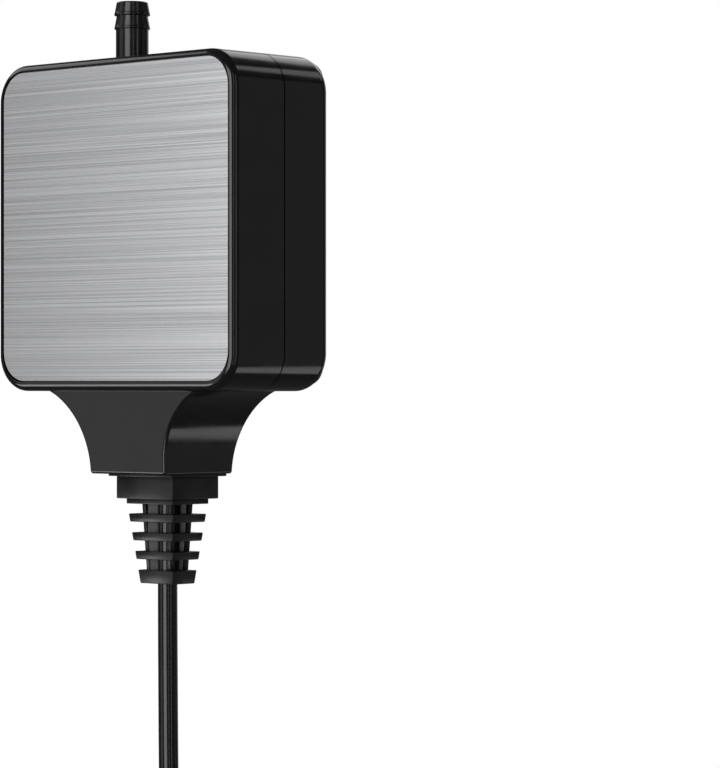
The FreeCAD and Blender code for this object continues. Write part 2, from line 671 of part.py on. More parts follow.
def rear_shell(case, seam):
    half = common("rear_half", case, half_space("rear_space", False))
    additions = board_ribs("rear_rib", REAR_INNER_Y, "-")
    additions.append(lip_ring("lip", "0", "lip_height"))
    tools = [seam]
    for side_x, side_z in CORNERS:
        name = f"rear_boss_{side_x}_{side_z}"
        x = f"{side_x} * {SCREW_X}"
        z = f"{side_z} * {SCREW_Z}"
        additions.append(cylinder(
            name, (x, PARTING_Y, z), "rear_boss_radius", "rear_depth - wall / 2", "Y",
        ))
        tools.append(cylinder(
            name + "_pocket", (x, "-head_pocket_depth", z), "housing_head_radius + head_pocket_gap",
            "head_pocket_depth + 1", "Y",
        ))
        tools.append(cylinder(
            name + "_hole", (x, f"{PARTING_Y} - 1", z), "housing_shank_radius + shank_gap",
            "rear_depth", "Y",
        ))
    frame_width = "filter_width + 2 * (filter_gap + filter_frame)"
    frame_height = "filter_height + 2 * (filter_gap + filter_frame)"
    filter_y = f"{REAR_INNER_Y} - filter_thickness / 2"
    outer_z = f"{INLET_Z} - ({frame_height}) / 2"
    inner_z = f"{INLET_Z} - filter_height / 2 - filter_gap"
    outer = box(
        "filter_rib_outer", ("0", filter_y, outer_z), frame_width, "filter_thickness", frame_height,
    )
    inner = box(
        "filter_rib_inner", ("0", filter_y, inner_z), "filter_width + 2 * filter_gap",
        "filter_thickness", "filter_height + 2 * filter_gap",
    )
    additions.append(cut("filter_rib", outer, inner))
    for number in range(INLET_SLOT_COUNT):
        step = number - (INLET_SLOT_COUNT - 1) / 2
        z = f"{INLET_Z} + ({step}) * inlet_pitch - inlet_slot_height / 2"
        middle = ("0", f"{REAR_INNER_Y} / 2", z)
        tools.append(box(
            f"inlet_slot_{number}", middle, "inlet_slot_length", "wall + 1", "inlet_slot_height",
        ))
    tools.append(nozzle_hole("rear_nozzle_hole"))
    tools.append(relief_hole("rear_relief_hole"))
    finish(cut("rear_shell_solid", join("rear_shell_blank", half, *additions), *tools), "rear_shell")


def face_plate():
    plate = rounded_block(
        "plate", ("0", f"{FRONT_Y} + plate_recess - adhesive_thickness", PLATE_Z), PLATE_WIDTH,
        PLATE_HEIGHT, "plate_corner", "plate_thickness", True, "plate_edge",
    )
    finish(plate, "face_plate")
    film = rounded_block(
        "film", ("0", f"{FRONT_Y} + plate_recess", PLATE_Z), f"{PLATE_WIDTH} - 2 * adhesive_inset",
        f"{PLATE_HEIGHT} - 2 * adhesive_inset", "plate_corner - adhesive_inset", "adhesive_thickness",
    )
    finish(film, "plate_adhesive")


def housing_screws():
    screws = []
    for side_x, side_z in CORNERS:
        place = (f"{side_x} * {SCREW_X}", "-head_pocket_depth", f"{side_z} * {SCREW_Z}")
        screws.append(screw(f"housing_screw_{side_x}_{side_z}", "housing", place, "Y"))
    finish(group("housing_screw_set", *screws), "housing_screws")


def inlet_filter():
    y = f"{REAR_INNER_Y} - filter_thickness / 2"
    middle = ("0", y, f"{INLET_Z} - filter_height / 2")
    pad = box("felt", middle, "filter_width", "filter_thickness", "filter_height")
    finish(pad, "inlet_filter")


# ---------------------------------------------------------------- outlet

def outlet_nozzle():
    """Turned form: spigot, flange, shaft and two barbs, with the air passage through."""
    flange_z = f"({TOP_Z} - wall - seal_height - flange_height)"
    end_z = f"({TOP_Z} + nozzle_height)"
    at = ("nozzle_x", PARTING_Y)
    spigot = cylinder(
        "nozzle_spigot_body", (*at, f"{flange_z} - nozzle_spigot"), "spigot_radius",
        "nozzle_spigot + 0.5",
    )
    flange = cylinder("nozzle_flange", (*at, flange_z), "flange_radius", "flange_height")
    crest_z = f"({end_z} - 2 * barb_pitch)"
    shaft = cylinder("nozzle_shaft", (*at, flange_z), "nozzle_radius", f"{crest_z} - {flange_z}")
    pieces = [spigot, flange, shaft]
    for number in (1, 2):
        z = f"({end_z} - {number} * barb_pitch)"
        cone_height = "barb_pitch - barb_land"
        pieces.append(cylinder(f"barb_land_{number}", (*at, z), BARB_RADIUS, "barb_land"))
        pieces.append(cone(
            f"barb_cone_{number}", (*at, f"{z} + barb_land"), BARB_RADIUS, "nozzle_radius - barb_draft",
            cone_height,
        ))
    blank = join("nozzle_blank", *pieces)
    passage = cylinder(
        "nozzle_passage", (*at, f"{flange_z} - nozzle_spigot - 1"), "nozzle_bore", "body_height",
    )
    mouth = cone(
        "nozzle_mouth", (*at, f"{end_z} - nozzle_edge"), "nozzle_bore",
        "nozzle_bore + nozzle_edge", "nozzle_edge",
    )
    finish(cut("nozzle", blank, passage, mouth), "outlet_nozzle")


def nozzle_seal():
    low = f"{TOP_Z} - wall - seal_height"
    washer = cylinder("seal_disc", ("nozzle_x", PARTING_Y, low), "flange_radius", "seal_height")
    hole = cylinder(
        "seal_hole", ("nozzle_x", PARTING_Y, f"{low} - 1"), "nozzle_radius", "seal_height + 2",
    )
    finish(cut("seal", washer, hole), "nozzle_seal")


def outlet_duct():
    """The silicone sleeve between the valve cover and the nozzle."""
    length = f"({TOP_Z} - wall - seal_height - flange_height) - {COVER_TOP_Z}"
    sleeve = cylinder(
        "duct_sleeve", ("nozzle_x", PARTING_Y, COVER_TOP_Z), "spigot_radius + duct_wall", length,
    )
    bore = cylinder("duct_bore", ("nozzle_x", PARTING_Y, COVER_TOP_Z), "spigot_radius", length)
    finish(cut("duct", sleeve, bore), "outlet_duct")


# ---------------------------------------------------------------- pump unit

FRONT_FACE_Y = "(-rear_depth - chamber_depth / 2)"
REAR_FACE_Y = "(-rear_depth + chamber_depth / 2)"


def pump_chamber():
    block = rounded_block(
        "chamber_block", ("0", REAR_FACE_Y, "pump_z"), "chamber_width", "chamber_width",
        "chamber_corner", "chamber_depth",
    )
    rear_seat_y = f"{REAR_FACE_Y} - seat_depth"
    tools = [
        cylinder("chamber_bore", ("0", FRONT_FACE_Y, "pump_z"), CHAMBER_RADIUS, "chamber_depth", "Y"),
        cylinder("front_seat", ("0", FRONT_FACE_Y, "pump_z"), SEAT_RADIUS, "seat_depth", "Y"),
        cylinder("rear_seat", ("0", rear_seat_y, "pump_z"), SEAT_RADIUS, "seat_depth", "Y"),
        box(
            "inlet_room", (VALVE_ROOM_X, PARTING_Y, f"{BLOCK_TOP_Z} - valve_room"),
            "valve_room_length", "valve_room_width", "valve_room + 1",
        ),
    ]
    for side, sign in (("outlet", "-"), ("inlet", "")):
        place = (f"{sign}valve_x", PARTING_Y, f"pump_z + {CHAMBER_RADIUS} / 2")
        tools.append(cylinder(f"{side}_port", place, "port_radius", "chamber_width / 2"))
        screw_place = (f"{sign}{COVER_SCREW_X}", PARTING_Y, f"{COVER_TOP_Z} - cover_shank_length")
        tools.append(cylinder(
            f"{side}_cover_pilot", screw_place, "cover_shank_radius", "cover_shank_length",
        ))
    for side_x, side_z in CORNERS:
        x = f"{side_x} * {CLAMP_SCREW}"
        z = f"pump_z + {side_z} * {CLAMP_SCREW}"
        deep = "(clamp_shank_length - clamp_thickness)"
        name = f"clamp_pilot_{side_x}_{side_z}"
        tools.append(cylinder(name + "_front", (x, FRONT_FACE_Y, z), "clamp_shank_radius", deep, "Y"))
        tools.append(cylinder(
            name + "_rear", (x, f"{REAR_FACE_Y} - {deep}", z), "clamp_shank_radius", deep, "Y",
        ))
    finish(cut("chamber", block, *tools), "pump_chamber")


def disc_set(side, face_y, out):
    """One side of the pump: disc, ceramic, rubber surround and clamp frame.

    face_y is the block's face and out is the sign of Y outwards from it.
    """
    forward = out == "-"
    disc_y = f"({face_y} - ({out} seat_depth / 2))"
    low_disc = f"{disc_y} - disc_thickness / 2"
    disc = cylinder(f"{side}_disc_body", ("0", low_disc, "pump_z"), "disc_radius", "disc_thickness", "Y")
    finish(disc, f"{side}_disc")
    ceramic_y = f"{disc_y} + disc_thickness / 2"
    if forward:
        ceramic_y = f"{disc_y} - disc_thickness / 2 - ceramic_thickness"
    ceramic = cylinder(
        f"{side}_ceramic_body", ("0", ceramic_y, "pump_z"), CERAMIC_RADIUS, "ceramic_thickness", "Y",
    )
    finish(ceramic, f"{side}_ceramic")
    seat_y = face_y if forward else f"({face_y} - seat_depth)"
    rubber = cylinder(
        f"{side}_rubber", ("0", seat_y, "pump_z"), f"{SEAT_RADIUS} - surround_gap", "seat_depth", "Y",
    )
    opening = cylinder(f"{side}_rubber_hole", ("0", seat_y, "pump_z"), CHAMBER_RADIUS, "seat_depth", "Y")
    groove = cylinder(
        f"{side}_rubber_groove", ("0", low_disc, "pump_z"), "disc_radius", "disc_thickness", "Y",
    )
    finish(cut(f"{side}_surround_ring", rubber, opening, groove), f"{side}_surround")
    frame_y = face_y if forward else f"({face_y} + clamp_thickness)"
    frame = rounded_block(
        f"{side}_frame", ("0", frame_y, "pump_z"), "chamber_width", "chamber_width",
        "chamber_corner", "clamp_thickness",
    )
    hole_y = f"({frame_y} - clamp_thickness)"
    tools = [cylinder(
        f"{side}_frame_hole", ("0", hole_y, "pump_z"), CHAMBER_RADIUS, "clamp_thickness", "Y",
    )]
    for side_x, side_z in CORNERS:
        place = (f"{side_x} * {CLAMP_SCREW}", hole_y, f"pump_z + {side_z} * {CLAMP_SCREW}")
        tools.append(cylinder(
            f"{side}_frame_hole_{side_x}_{side_z}", place, "clamp_shank_radius", "clamp_thickness", "Y",
        ))
    finish(cut(f"{side}_clamp_frame", frame, *tools), f"{side}_clamp")


def clamp_screws():
    screws = []
    for side_x, side_z in CORNERS:
        x = f"{side_x} * {CLAMP_SCREW}"
        z = f"pump_z + {side_z} * {CLAMP_SCREW}"
        name = f"clamp_screw_{side_x}_{side_z}"
        screws.append(screw(name + "_front", "clamp", (x, f"{FRONT_FACE_Y} - clamp_thickness", z), "-Y"))
        screws.append(screw(name + "_rear", "clamp", (x, f"{REAR_FACE_Y} + clamp_thickness", z), "Y"))
    finish(group("clamp_screw_set", *screws), "clamp_screws")


def isolation_pads():
    """Rubber feet that hold the pump unit between the shells."""
    frame_front = f"({FRONT_FACE_Y} - clamp_thickness)"
    frame_rear = f"({REAR_FACE_Y} + clamp_thickness)"
    pads = []
    for side, sign in (("left", "-"), ("right", "")):
        front_at = (f"{sign}{PAD_X}", FRONT_INNER_Y, "pump_z")
        rear_at = (f"{sign}{PAD_X}", frame_rear, "pump_z")
        pads.append(cylinder(
            f"{side}_front_pad", front_at, "pad_radius", f"{frame_front} - {FRONT_INNER_Y}", "Y",
        ))
        pads.append(cylinder(
            f"{side}_rear_pad", rear_at, "pad_radius", f"{REAR_INNER_Y} - {frame_rear}", "Y",
        ))
    finish(group("pads", *pads), "isolation_pads")


# ---------------------------------------------------------------- valves

def valve_room(name, sign, low_z, height):
    """The space round one port, longer towards the flap's root."""
    middle = (f"{sign} {VALVE_ROOM_X}", PARTING_Y, low_z)
    return box(name, middle, "valve_room_length", "valve_room_width", height)


def flap(name, sign, node):
    """A silicone tongue over its port; its root points away from the middle."""
    root_x = f"({VALVE_ROOM_X} + valve_room_length / 2 - flap_root)"
    middle = (f"{sign} ({root_x} - flap_length / 2)", PARTING_Y, BLOCK_TOP_Z)
    finish(box(name, middle, "flap_length", "flap_width", "gasket_thickness"), node)


def valve_gasket():
    sheet_body = box(
        "gasket_sheet", ("0", PARTING_Y, BLOCK_TOP_Z), "cover_length", "cover_depth",
        "gasket_thickness",
    )
    low = f"{BLOCK_TOP_Z} - 1"
    tools = [
        valve_room("gasket_window_left", "-", low, "gasket_thickness + 2"),
        valve_room("gasket_window_right", "+", low, "gasket_thickness + 2"),
    ]
    for side, sign in (("left", "-"), ("right", "")):
        place = (f"{sign}{COVER_SCREW_X}", PARTING_Y, low)
        tools.append(cylinder(f"gasket_hole_{side}", place, "cover_shank_radius", "gasket_thickness + 2"))
    finish(cut("gasket", sheet_body, *tools), "valve_gasket")


def valve_cover():
    block = box("cover_block", ("0", PARTING_Y, COVER_Z), "cover_length", "cover_depth", "cover_height")
    spigot = cylinder(
        "cover_spigot_body", ("nozzle_x", PARTING_Y, COVER_Z), "spigot_radius",
        "cover_height + cover_spigot",
    )
    outlet_at = ("nozzle_x", PARTING_Y, COVER_Z)
    inlet_at = ("valve_x", PARTING_Y, f"{COVER_Z} - 1")
    tools = [
        valve_room("outlet_room", "-", f"{COVER_Z} - 1", "valve_room + 1"),
        cylinder("outlet_passage", outlet_at, "port_radius", "cover_height + cover_spigot + 1"),
        cylinder("inlet_passage", inlet_at, "port_radius", "cover_height + 2"),
    ]
    for side, sign in (("left", "-"), ("right", "")):
        place = (f"{sign}{COVER_SCREW_X}", PARTING_Y, f"{COVER_Z} - 1")
        tools.append(cylinder(f"cover_hole_{side}", place, "cover_shank_radius", "cover_height + 2"))
    finish(cut("cover", join("cover_blank", block, spigot), *tools), "valve_cover")


def valve_cover_screws():
    screws = []
    for side, sign in (("left", "-"), ("right", "")):
        place = (f"{sign}{COVER_SCREW_X}", PARTING_Y, COVER_TOP_Z)
        screws.append(screw(f"cover_screw_{side}", "cover", place, "Z"))
    finish(group("cover_screw_set", *screws), "valve_cover_screws")


# ---------------------------------------------------------------- electrics

BOARD_DEPTH = f"({REAR_INNER_Y} - {FRONT_INNER_Y} - 2 * board_end_gap)"
BOARD_Y = f"(({REAR_INNER_Y} + {FRONT_INNER_Y}) / 2)"
BOARD_OUT_X = f"({BOARD_X} + board_thickness)"

# Component axes across the board: (half span of the wires, height on the board).
RESISTOR_HEIGHTS = (2.5, 7.5)
FUSE_HEIGHT = -8.0


def axial_part(name, radius, length, z):
    """A round component along Y with its two wires bent into the board."""
    axis_x = f"({BOARD_OUT_X} + {radius})"
    half_span = f"(({length}) / 2 + 1)"
    body = cylinder(name + "_body", (axis_x, f"{BOARD_Y} - ({length}) / 2", z), radius, length, "Y")
    wire = cylinder(
        name + "_wire", (axis_x, f"{BOARD_Y} - {half_span}", z), "pin_radius", f"2 * {half_span}", "Y",
    )
    legs = []
    for side, sign in (("front", "-"), ("rear", "+")):
        place = (BOARD_OUT_X, f"{BOARD_Y} {sign} {half_span}", z)
        legs.append(cylinder(f"{name}_{side}_leg", place, "pin_radius", f"{radius} + pin_radius", "X"))
    return join(name, body, wire, *legs)


def electrics():
    low = "board_centre_z - board_height / 2"
    middle = (f"{BOARD_X} + board_thickness / 2", BOARD_Y, low)
    board = box("board", middle, "board_thickness", BOARD_DEPTH, "board_height")
    finish(board, "circuit_board")
    resistors = []
    for number, height in enumerate(RESISTOR_HEIGHTS):
        z = f"board_centre_z + {height}"
        resistors.append(axial_part(f"resistor_{number}", "resistor_radius", "resistor_length", z))
    finish(group("resistor_pair", *resistors), "resistors")
    finish(
        axial_part("fuse_link", "fuse_radius", "fuse_length", f"board_centre_z + {FUSE_HEIGHT}"),
        "fuse",
    )


def supply_leads():
    """Two insulated conductors from the cord's end round the pump unit to the board."""
    top_z = CORD_DROP_POINTS[0][2]
    axis_y = value(RELIEF_Y)
    radius = value("supply_lead_radius")
    low_z = value(f"{BOTTOM_Z} + wall + 2 * supply_lead_radius + 1")
    rise_x = value(f"(chamber_width / 2 + {BOARD_X}) / 2 - 0.2")
    board_x = value(BOARD_X)
    end_z = value("board_centre_z - board_height / 2 + 4")
    leads = []
    for number, sign in enumerate((-1, 1)):
        y = axis_y - value("supply_lead_shift") + sign * value("supply_lead_pitch") / 2
        start_y = axis_y + sign * value("core_pitch") / 2
        points = [
            (0, start_y, top_z),
            (0, start_y, top_z + 3),
            (2, y, low_z),
            (rise_x, y, low_z),
            (rise_x, y, end_z + sign),
            (board_x, y, end_z + sign),
        ]
        leads.append(tube(f"supply_lead_{number}", points, radius))
    finish(group("supply_lead_pair", *leads), "supply_leads")


def disc_lead(side, face_y, out):
    """A thin wire from the board over the clamp frame, down to the ceramic."""
    sign = -1 if out == "-" else 1
    frame_y = value(f"{face_y} {out} clamp_thickness")
    run_y = frame_y + sign * value("disc_lead_lift")
    ceramic_y = value(f"{face_y} - ({out} seat_depth / 2) {out} (disc_thickness / 2 + ceramic_thickness)")
    x = value("disc_lead_x")
    z = value(f"pump_z + {CERAMIC_RADIUS} - disc_lead_inset")
    points = [(value(BOARD_X), run_y, z), (x, run_y, z), (x, ceramic_y, z)]
    finish(tube(f"{side}_wire", points, value("disc_lead_radius")), f"{side}_disc_lead")


# ---------------------------------------------------------------- strain relief and clamp

def diagonal_webs(low_z, height):
    """Two thin crossed walls inside the ladder that tie its corner posts to the cord's sleeve."""
    half_width = value("core_end_width / 2")
    half_depth = value("core_end_depth / 2")
    length = 2 * math.hypot(half_width, half_depth) - 2 * value("web_inset")
    thickness = value("web_thickness")
    webs = []
    for side in (-1, 1):
        angle = side * math.degrees(math.atan2(half_depth, half_width))
        turn = FreeCAD.Rotation(FreeCAD.Vector(0, 0, 1), angle)
        web = Part.makeBox(length, thickness, value(height))
        web.translate(FreeCAD.Vector(-length / 2, -thickness / 2, 0))
        piece = doc.addObject("Part::Feature", f"diagonal_web_{side}")
        piece.Shape = web
        piece.Placement = FreeCAD.Placement(FreeCAD.Vector(0, value(RELIEF_Y), value(low_z)), turn)
        webs.append(piece)
    return webs


def strain_relief():
    """Anchor, collar, fins and end block moulded round the cord, open between the fins."""
    at = ("0", RELIEF_Y)
    floor_z = f"({NECK_BOTTOM_Z} + neck_floor)"
    collar_z = f"({NECK_BOTTOM_Z} - skirt_height - collar_height)"
    taper_z = f"({NECK_BOTTOM_Z} - fin_drop)"
    taper_height = f"{FIN_COUNT} * fin_pitch + end_block_height"
    fins = taper(
        "fin_taper", (*at, taper_z), taper_height,
        ("fin_top_width", "fin_top_depth"), ("fin_end_width", "fin_end_depth"),
    )
    gaps = []
    windows = []
    core_height = f"fin_drop - skirt_height - collar_height + {FIN_COUNT} * fin_pitch"
    for number in range(FIN_COUNT + 1):
        if number:
            high_z = f"({taper_z} - {number - 1} * fin_pitch - fin_height)"
            low_z = f"({taper_z} - {number} * fin_pitch)"
            gaps.append(box(
                f"fin_gap_{number}", (*at, low_z), "2 * fin_top_width", "2 * fin_top_depth",
                f"{high_z} - {low_z}",
            ))
        else:
            high_z = f"({collar_z} - shoulder_height)"
            low_z = taper_z
        share = number / FIN_COUNT
        wide = f"(core_top_width + {share} * (core_end_width - core_top_width) - 2 * post)"
        deep = f"(core_top_depth + {share} * (core_end_depth - core_top_depth) - 2 * post)"
        high = f"{high_z} - {low_z}"
        windows.append(box(f"front_window_{number}", (*at, low_z), wide, "2 * core_top_depth", high))
        windows.append(box(f"side_window_{number}", (*at, low_z), "2 * core_top_width", deep, high))
    skirt_z = f"{NECK_BOTTOM_Z} - skirt_height"
    shoulder_z = f"{collar_z} - shoulder_height"
    pieces = [
        box("anchor", (*at, floor_z), "anchor_width", ANCHOR_DEPTH, "anchor_height"),
        box("stem", (*at, NECK_BOTTOM_Z), "stem_width", "stem_depth", "neck_floor"),
        box("skirt", (*at, skirt_z), "skirt_width", "skirt_depth", "skirt_height"),
        box("collar", (*at, collar_z), "collar_width", "collar_depth", "collar_height"),
        box("shoulder", (*at, shoulder_z), "shoulder_width", "shoulder_depth", "shoulder_height"),
        cut("fin_set", fins, *gaps),
        taper(
            "ladder", (*at, collar_z), core_height,
            ("core_top_width", "core_top_depth"), ("core_end_width", "core_end_depth"),
        ),
    ]
    bore = cylinder(
        "relief_bore", (*at, f"{RELIEF_END_Z} - 1"), "cord_radius",
        f"{floor_z} - {RELIEF_END_Z} + anchor_height + 2",
    )
    web_low = f"{taper_z} - {FIN_COUNT} * fin_pitch"
    webs = diagonal_webs(web_low, f"{collar_z} - shoulder_height - ({web_low})")
    open_form = cut("relief_open", join("relief_blank", *pieces), *windows)
    finish(cut("relief", join("relief_webbed", open_form, *webs), bore), "strain_relief")


def cord_clamp():
    """The bar inside the neck that pinches the cord on its saddle, and its two screws."""
    y = f"{RELIEF_Y} + clamp_pinch + clamp_bar_thickness / 2"
    bar = box(
        "clamp_bar", ("0", y, CLAMP_BAR_Z), "clamp_bar_width", "clamp_bar_thickness",
        "clamp_bar_height",
    )
    tools = [cylinder(
        "clamp_bar_groove", ("0", RELIEF_Y, f"{CLAMP_BAR_Z} - 1"), "cord_radius", "clamp_bar_height + 2",
    )]
    middle_z = f"{CLAMP_BAR_Z} + clamp_bar_height / 2"
    screws = []
    for sign in (-1, 1):
        x = f"{sign} * bar_screw_x"
        tools.append(cylinder(
            f"clamp_bar_hole_{sign}", (x, RELIEF_Y, middle_z), "bar_shank_radius",
            "2 * clamp_bar_thickness", "Y",
        ))
        head_y = f"{RELIEF_Y} + clamp_pinch + clamp_bar_thickness"
        screws.append(screw(f"bar_screw_{sign}", "bar", (x, head_y, middle_z), "Y"))
    finish(cut("clamp_bar_drilled", bar, *tools), "cord_clamp")
    finish(group("bar_screw_pair", *screws), "cord_clamp_screws")


# ---------------------------------------------------------------- free cord and plug

LOBE_Z = "(hank_top_z - hank_lobe_radius)"
HANK_MIDDLE_Z = f"({LOBE_Z} - hank_run / 2)"


def free_cord():
    radius = value("cord_radius")
    finish(tube("cord_drop", CORD_DROP_POINTS, radius), "power_cord")
    finish(tube("cord_tail_tube", CORD_TAIL_POINTS, radius), "cord_tail")


def cord_hank():
    """The outer shape of the folded cord: two round ends and a pinched waist."""
    front_y = f"{RELIEF_Y} - hank_depth / 2"
    lobes = []
    flares = []
    for side, z in (("upper", LOBE_Z), ("lower", f"{LOBE_Z} - hank_run")):
        lobes.append(cylinder(f"{side}_lobe", ("0", front_y, z), "hank_lobe_radius", "hank_depth", "Y"))
    reach = "(hank_run / 2 - waist_height / 2)"
    wide = ("2 * hank_lobe_radius", "hank_depth")
    slim = ("hank_waist", "hank_depth")
    flares.append(taper("upper_flare", ("0", RELIEF_Y, LOBE_Z), reach, wide, slim))
    flares.append(taper(
        "lower_flare", ("0", RELIEF_Y, f"{HANK_MIDDLE_Z} - waist_height / 2"), reach, slim, wide,
    ))
    waist_z = f"{HANK_MIDDLE_Z} - waist_height / 2"
    waist = box("waist", ("0", RELIEF_Y, waist_z), "hank_waist", "hank_depth", "waist_height")
    finish(join("hank", *lobes, *flares, waist), "cord_hank")


def cord_tie():
    z = f"{HANK_MIDDLE_Z} - tie_width / 2"
    middle = ("0", RELIEF_Y, z)
    outer = box(
        "tie_outer", middle, "hank_waist + 2 * tie_thickness", "hank_depth + 2 * tie_thickness",
        "tie_width",
    )
    inner = box("tie_inner", middle, "hank_waist", "hank_depth", "tie_width")
    finish(cut("tie_band", outer, inner), "cord_tie")


def plug():
    """A generic flat two-blade plug: moulded body with a tapered sleeve, and its blades."""
    body_top = "(plug_top_z - plug_neck_height)"
    body = rounded_block(
        "plug_block", ("0", f"{RELIEF_Y} + plug_depth / 2", f"{body_top} - plug_height / 2"),
        "plug_width", "plug_height", "plug_corner", "plug_depth", True, "plug_rounding",
    )
    sleeve = taper(
        "plug_sleeve", ("0", RELIEF_Y, "plug_top_z"), "plug_neck_height + 1",
        ("plug_neck_top", "plug_neck_top"), ("plug_neck_width", "plug_neck_depth"),
    )
    finish(join("plug_moulding", body, sleeve), "plug_body")
    blades = []
    end_z = f"({body_top} - plug_height - blade_length)"
    for side, sign in (("left", "-"), ("right", "")):
        x = f"{sign}blade_spacing / 2"
        blank = box(
            f"{side}_blade_blank", (x, RELIEF_Y, end_z), "blade_thickness", "blade_width",
            "blade_length",
        )
        hole = cylinder(
            f"{side}_blade_hole", (f"{x} - blade_width", RELIEF_Y, f"{end_z} + blade_hole_rise"),
            "blade_hole_radius", "2 * blade_width", "X",
        )
        blades.append(cut(f"{side}_blade", blank, hole))
    finish(group("blade_pair", *blades), "plug_blades")


# ---------------------------------------------------------------- assembly and export

case = housing()
seam = seam_tool()
front_shell(case, seam)
rear_shell(case, seam)
face_plate()
housing_screws()
inlet_filter()
outlet_nozzle()
nozzle_seal()
outlet_duct()
pump_chamber()
disc_set("front", FRONT_FACE_Y, "-")
disc_set("rear", REAR_FACE_Y, "+")
clamp_screws()
isolation_pads()
flap("outlet_tongue", "-", "outlet_flap")
flap("inlet_tongue", "+", "inlet_flap")
valve_gasket()
valve_cover()
valve_cover_screws()
electrics()
supply_leads()
disc_lead("front", FRONT_FACE_Y, "-")
disc_lead("rear", REAR_FACE_Y, "+")
strain_relief()
cord_clamp()
free_cord()
cord_hank()
cord_tie()
plug()

doc.recompute()
for item in doc.Objects:
    if "Invalid" in item.State or "Error" in item.State:
        raise RuntimeError(f"{item.Name} failed: {item.State}")
os.makedirs("parts", exist_ok=True)
for piece in nodes:
    if piece.Shape.isNull() or not piece.Shape.isValid():
        raise RuntimeError(f"{piece.Label} has no valid shape")
    piece.Shape.exportStep(f"parts/{piece.Label}.step")
    box_now = piece.Shape.BoundBox
    print(
        f"{piece.Label}: {len(piece.Shape.Solids)} solid(s), {piece.Shape.Volume:.1f} mm3, "
        f"z {box_now.ZMin:.2f} to {box_now.ZMax:.2f}"
    )
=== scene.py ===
# %% [markdown]
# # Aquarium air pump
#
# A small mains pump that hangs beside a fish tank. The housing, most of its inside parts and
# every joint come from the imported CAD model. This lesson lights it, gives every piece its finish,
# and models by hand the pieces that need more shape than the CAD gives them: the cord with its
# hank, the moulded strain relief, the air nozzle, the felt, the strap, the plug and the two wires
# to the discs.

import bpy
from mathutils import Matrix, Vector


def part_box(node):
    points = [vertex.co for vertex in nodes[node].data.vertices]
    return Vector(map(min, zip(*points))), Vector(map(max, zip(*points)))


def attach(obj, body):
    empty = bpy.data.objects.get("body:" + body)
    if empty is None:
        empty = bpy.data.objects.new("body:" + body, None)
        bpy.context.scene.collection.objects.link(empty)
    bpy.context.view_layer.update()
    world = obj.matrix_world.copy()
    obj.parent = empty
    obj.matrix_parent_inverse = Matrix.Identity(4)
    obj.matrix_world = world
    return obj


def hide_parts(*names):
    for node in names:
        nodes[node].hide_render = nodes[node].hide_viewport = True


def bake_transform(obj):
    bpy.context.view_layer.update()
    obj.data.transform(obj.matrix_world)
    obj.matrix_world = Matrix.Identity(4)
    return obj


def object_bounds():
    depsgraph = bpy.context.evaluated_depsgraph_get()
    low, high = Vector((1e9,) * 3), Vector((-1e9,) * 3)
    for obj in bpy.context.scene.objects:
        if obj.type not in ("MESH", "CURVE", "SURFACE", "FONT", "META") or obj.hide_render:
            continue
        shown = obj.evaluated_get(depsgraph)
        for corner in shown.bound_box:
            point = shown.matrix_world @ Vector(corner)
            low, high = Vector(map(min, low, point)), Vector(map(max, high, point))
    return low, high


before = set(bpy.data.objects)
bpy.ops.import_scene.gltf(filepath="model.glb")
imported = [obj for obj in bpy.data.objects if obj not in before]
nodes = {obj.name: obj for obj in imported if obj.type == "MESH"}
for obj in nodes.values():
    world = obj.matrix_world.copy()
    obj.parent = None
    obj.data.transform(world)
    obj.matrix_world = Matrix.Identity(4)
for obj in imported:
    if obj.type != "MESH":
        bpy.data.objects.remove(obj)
cad_low, cad_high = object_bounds()
print("CAD box", [round(value, 4) for value in (*cad_low, *cad_high)])

# %% Other modules, and one millimetre
import math

import bpy
from mathutils import Vector

mm = 0.001

# %% [markdown]
# ## The camera
#
# The pump is seen from its right, level with the lower edge of its body, through a long lens,
# so its edges stay nearly parallel. The camera could be placed by numbers alone. Working it out
# from the housing's own box keeps it right when the model changes: it turns about the plan middle
# of the housing, it stands a little to one side so that the pump sits at the left of the picture,
# and it looks level.

# %% Measure the housing
def middle(node):
    low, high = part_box(node)
    return (Vector(low) + Vector(high)) / 2


neck_height = 12.5 * mm
parting_y = middle("outlet_nozzle").y
neck_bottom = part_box("front_shell")[0][2]
body_bottom = neck_bottom + neck_height
print("parting plane y", round(parting_y, 4), "neck bottom z", round(neck_bottom, 4))

# %% Place the camera
view_azimuth = math.radians(42.67)
view_distance = 512.3 * mm
view_aside = 29.94 * mm
view_above_bottom = 1.08 * mm
lens_length = 158.25

towards_camera = Vector((math.sin(view_azimuth), -math.cos(view_azimuth), 0))
to_the_right = Vector((math.cos(view_azimuth), math.sin(view_azimuth), 0))
eye = Vector((0, parting_y, body_bottom + view_above_bottom))
eye += towards_camera * view_distance + to_the_right * view_aside
bpy.ops.object.select_all(action="DESELECT")
bpy.ops.object.camera_add(location=eye, rotation=(math.pi / 2, 0, view_azimuth))
camera = bpy.context.object
camera.name = "camera"
camera.data.lens = lens_length
camera.data.clip_start = 10 * mm
bpy.context.scene.camera = camera
print("camera at", [round(value, 4) for value in eye])

# %% [markdown]
# ## Finishes: a few helpers
#
# Every finish is made of nodes on the piece's own Object coordinates, so it stays put when the
# piece is looked at from another side. The helpers below only save typing: one adds a node, one
# gives noise at a size in millimetres, one turns its grey value into a range of numbers, one into
# colours, and one into fine relief.

# %% Helpers for the finishes
def new_finish(name):
    """A new material with its tree and its shader."""
    material = bpy.data.materials.new(name)
    material.use_nodes = True
    tree = material.node_tree
    return material, tree, tree.nodes["Principled BSDF"]


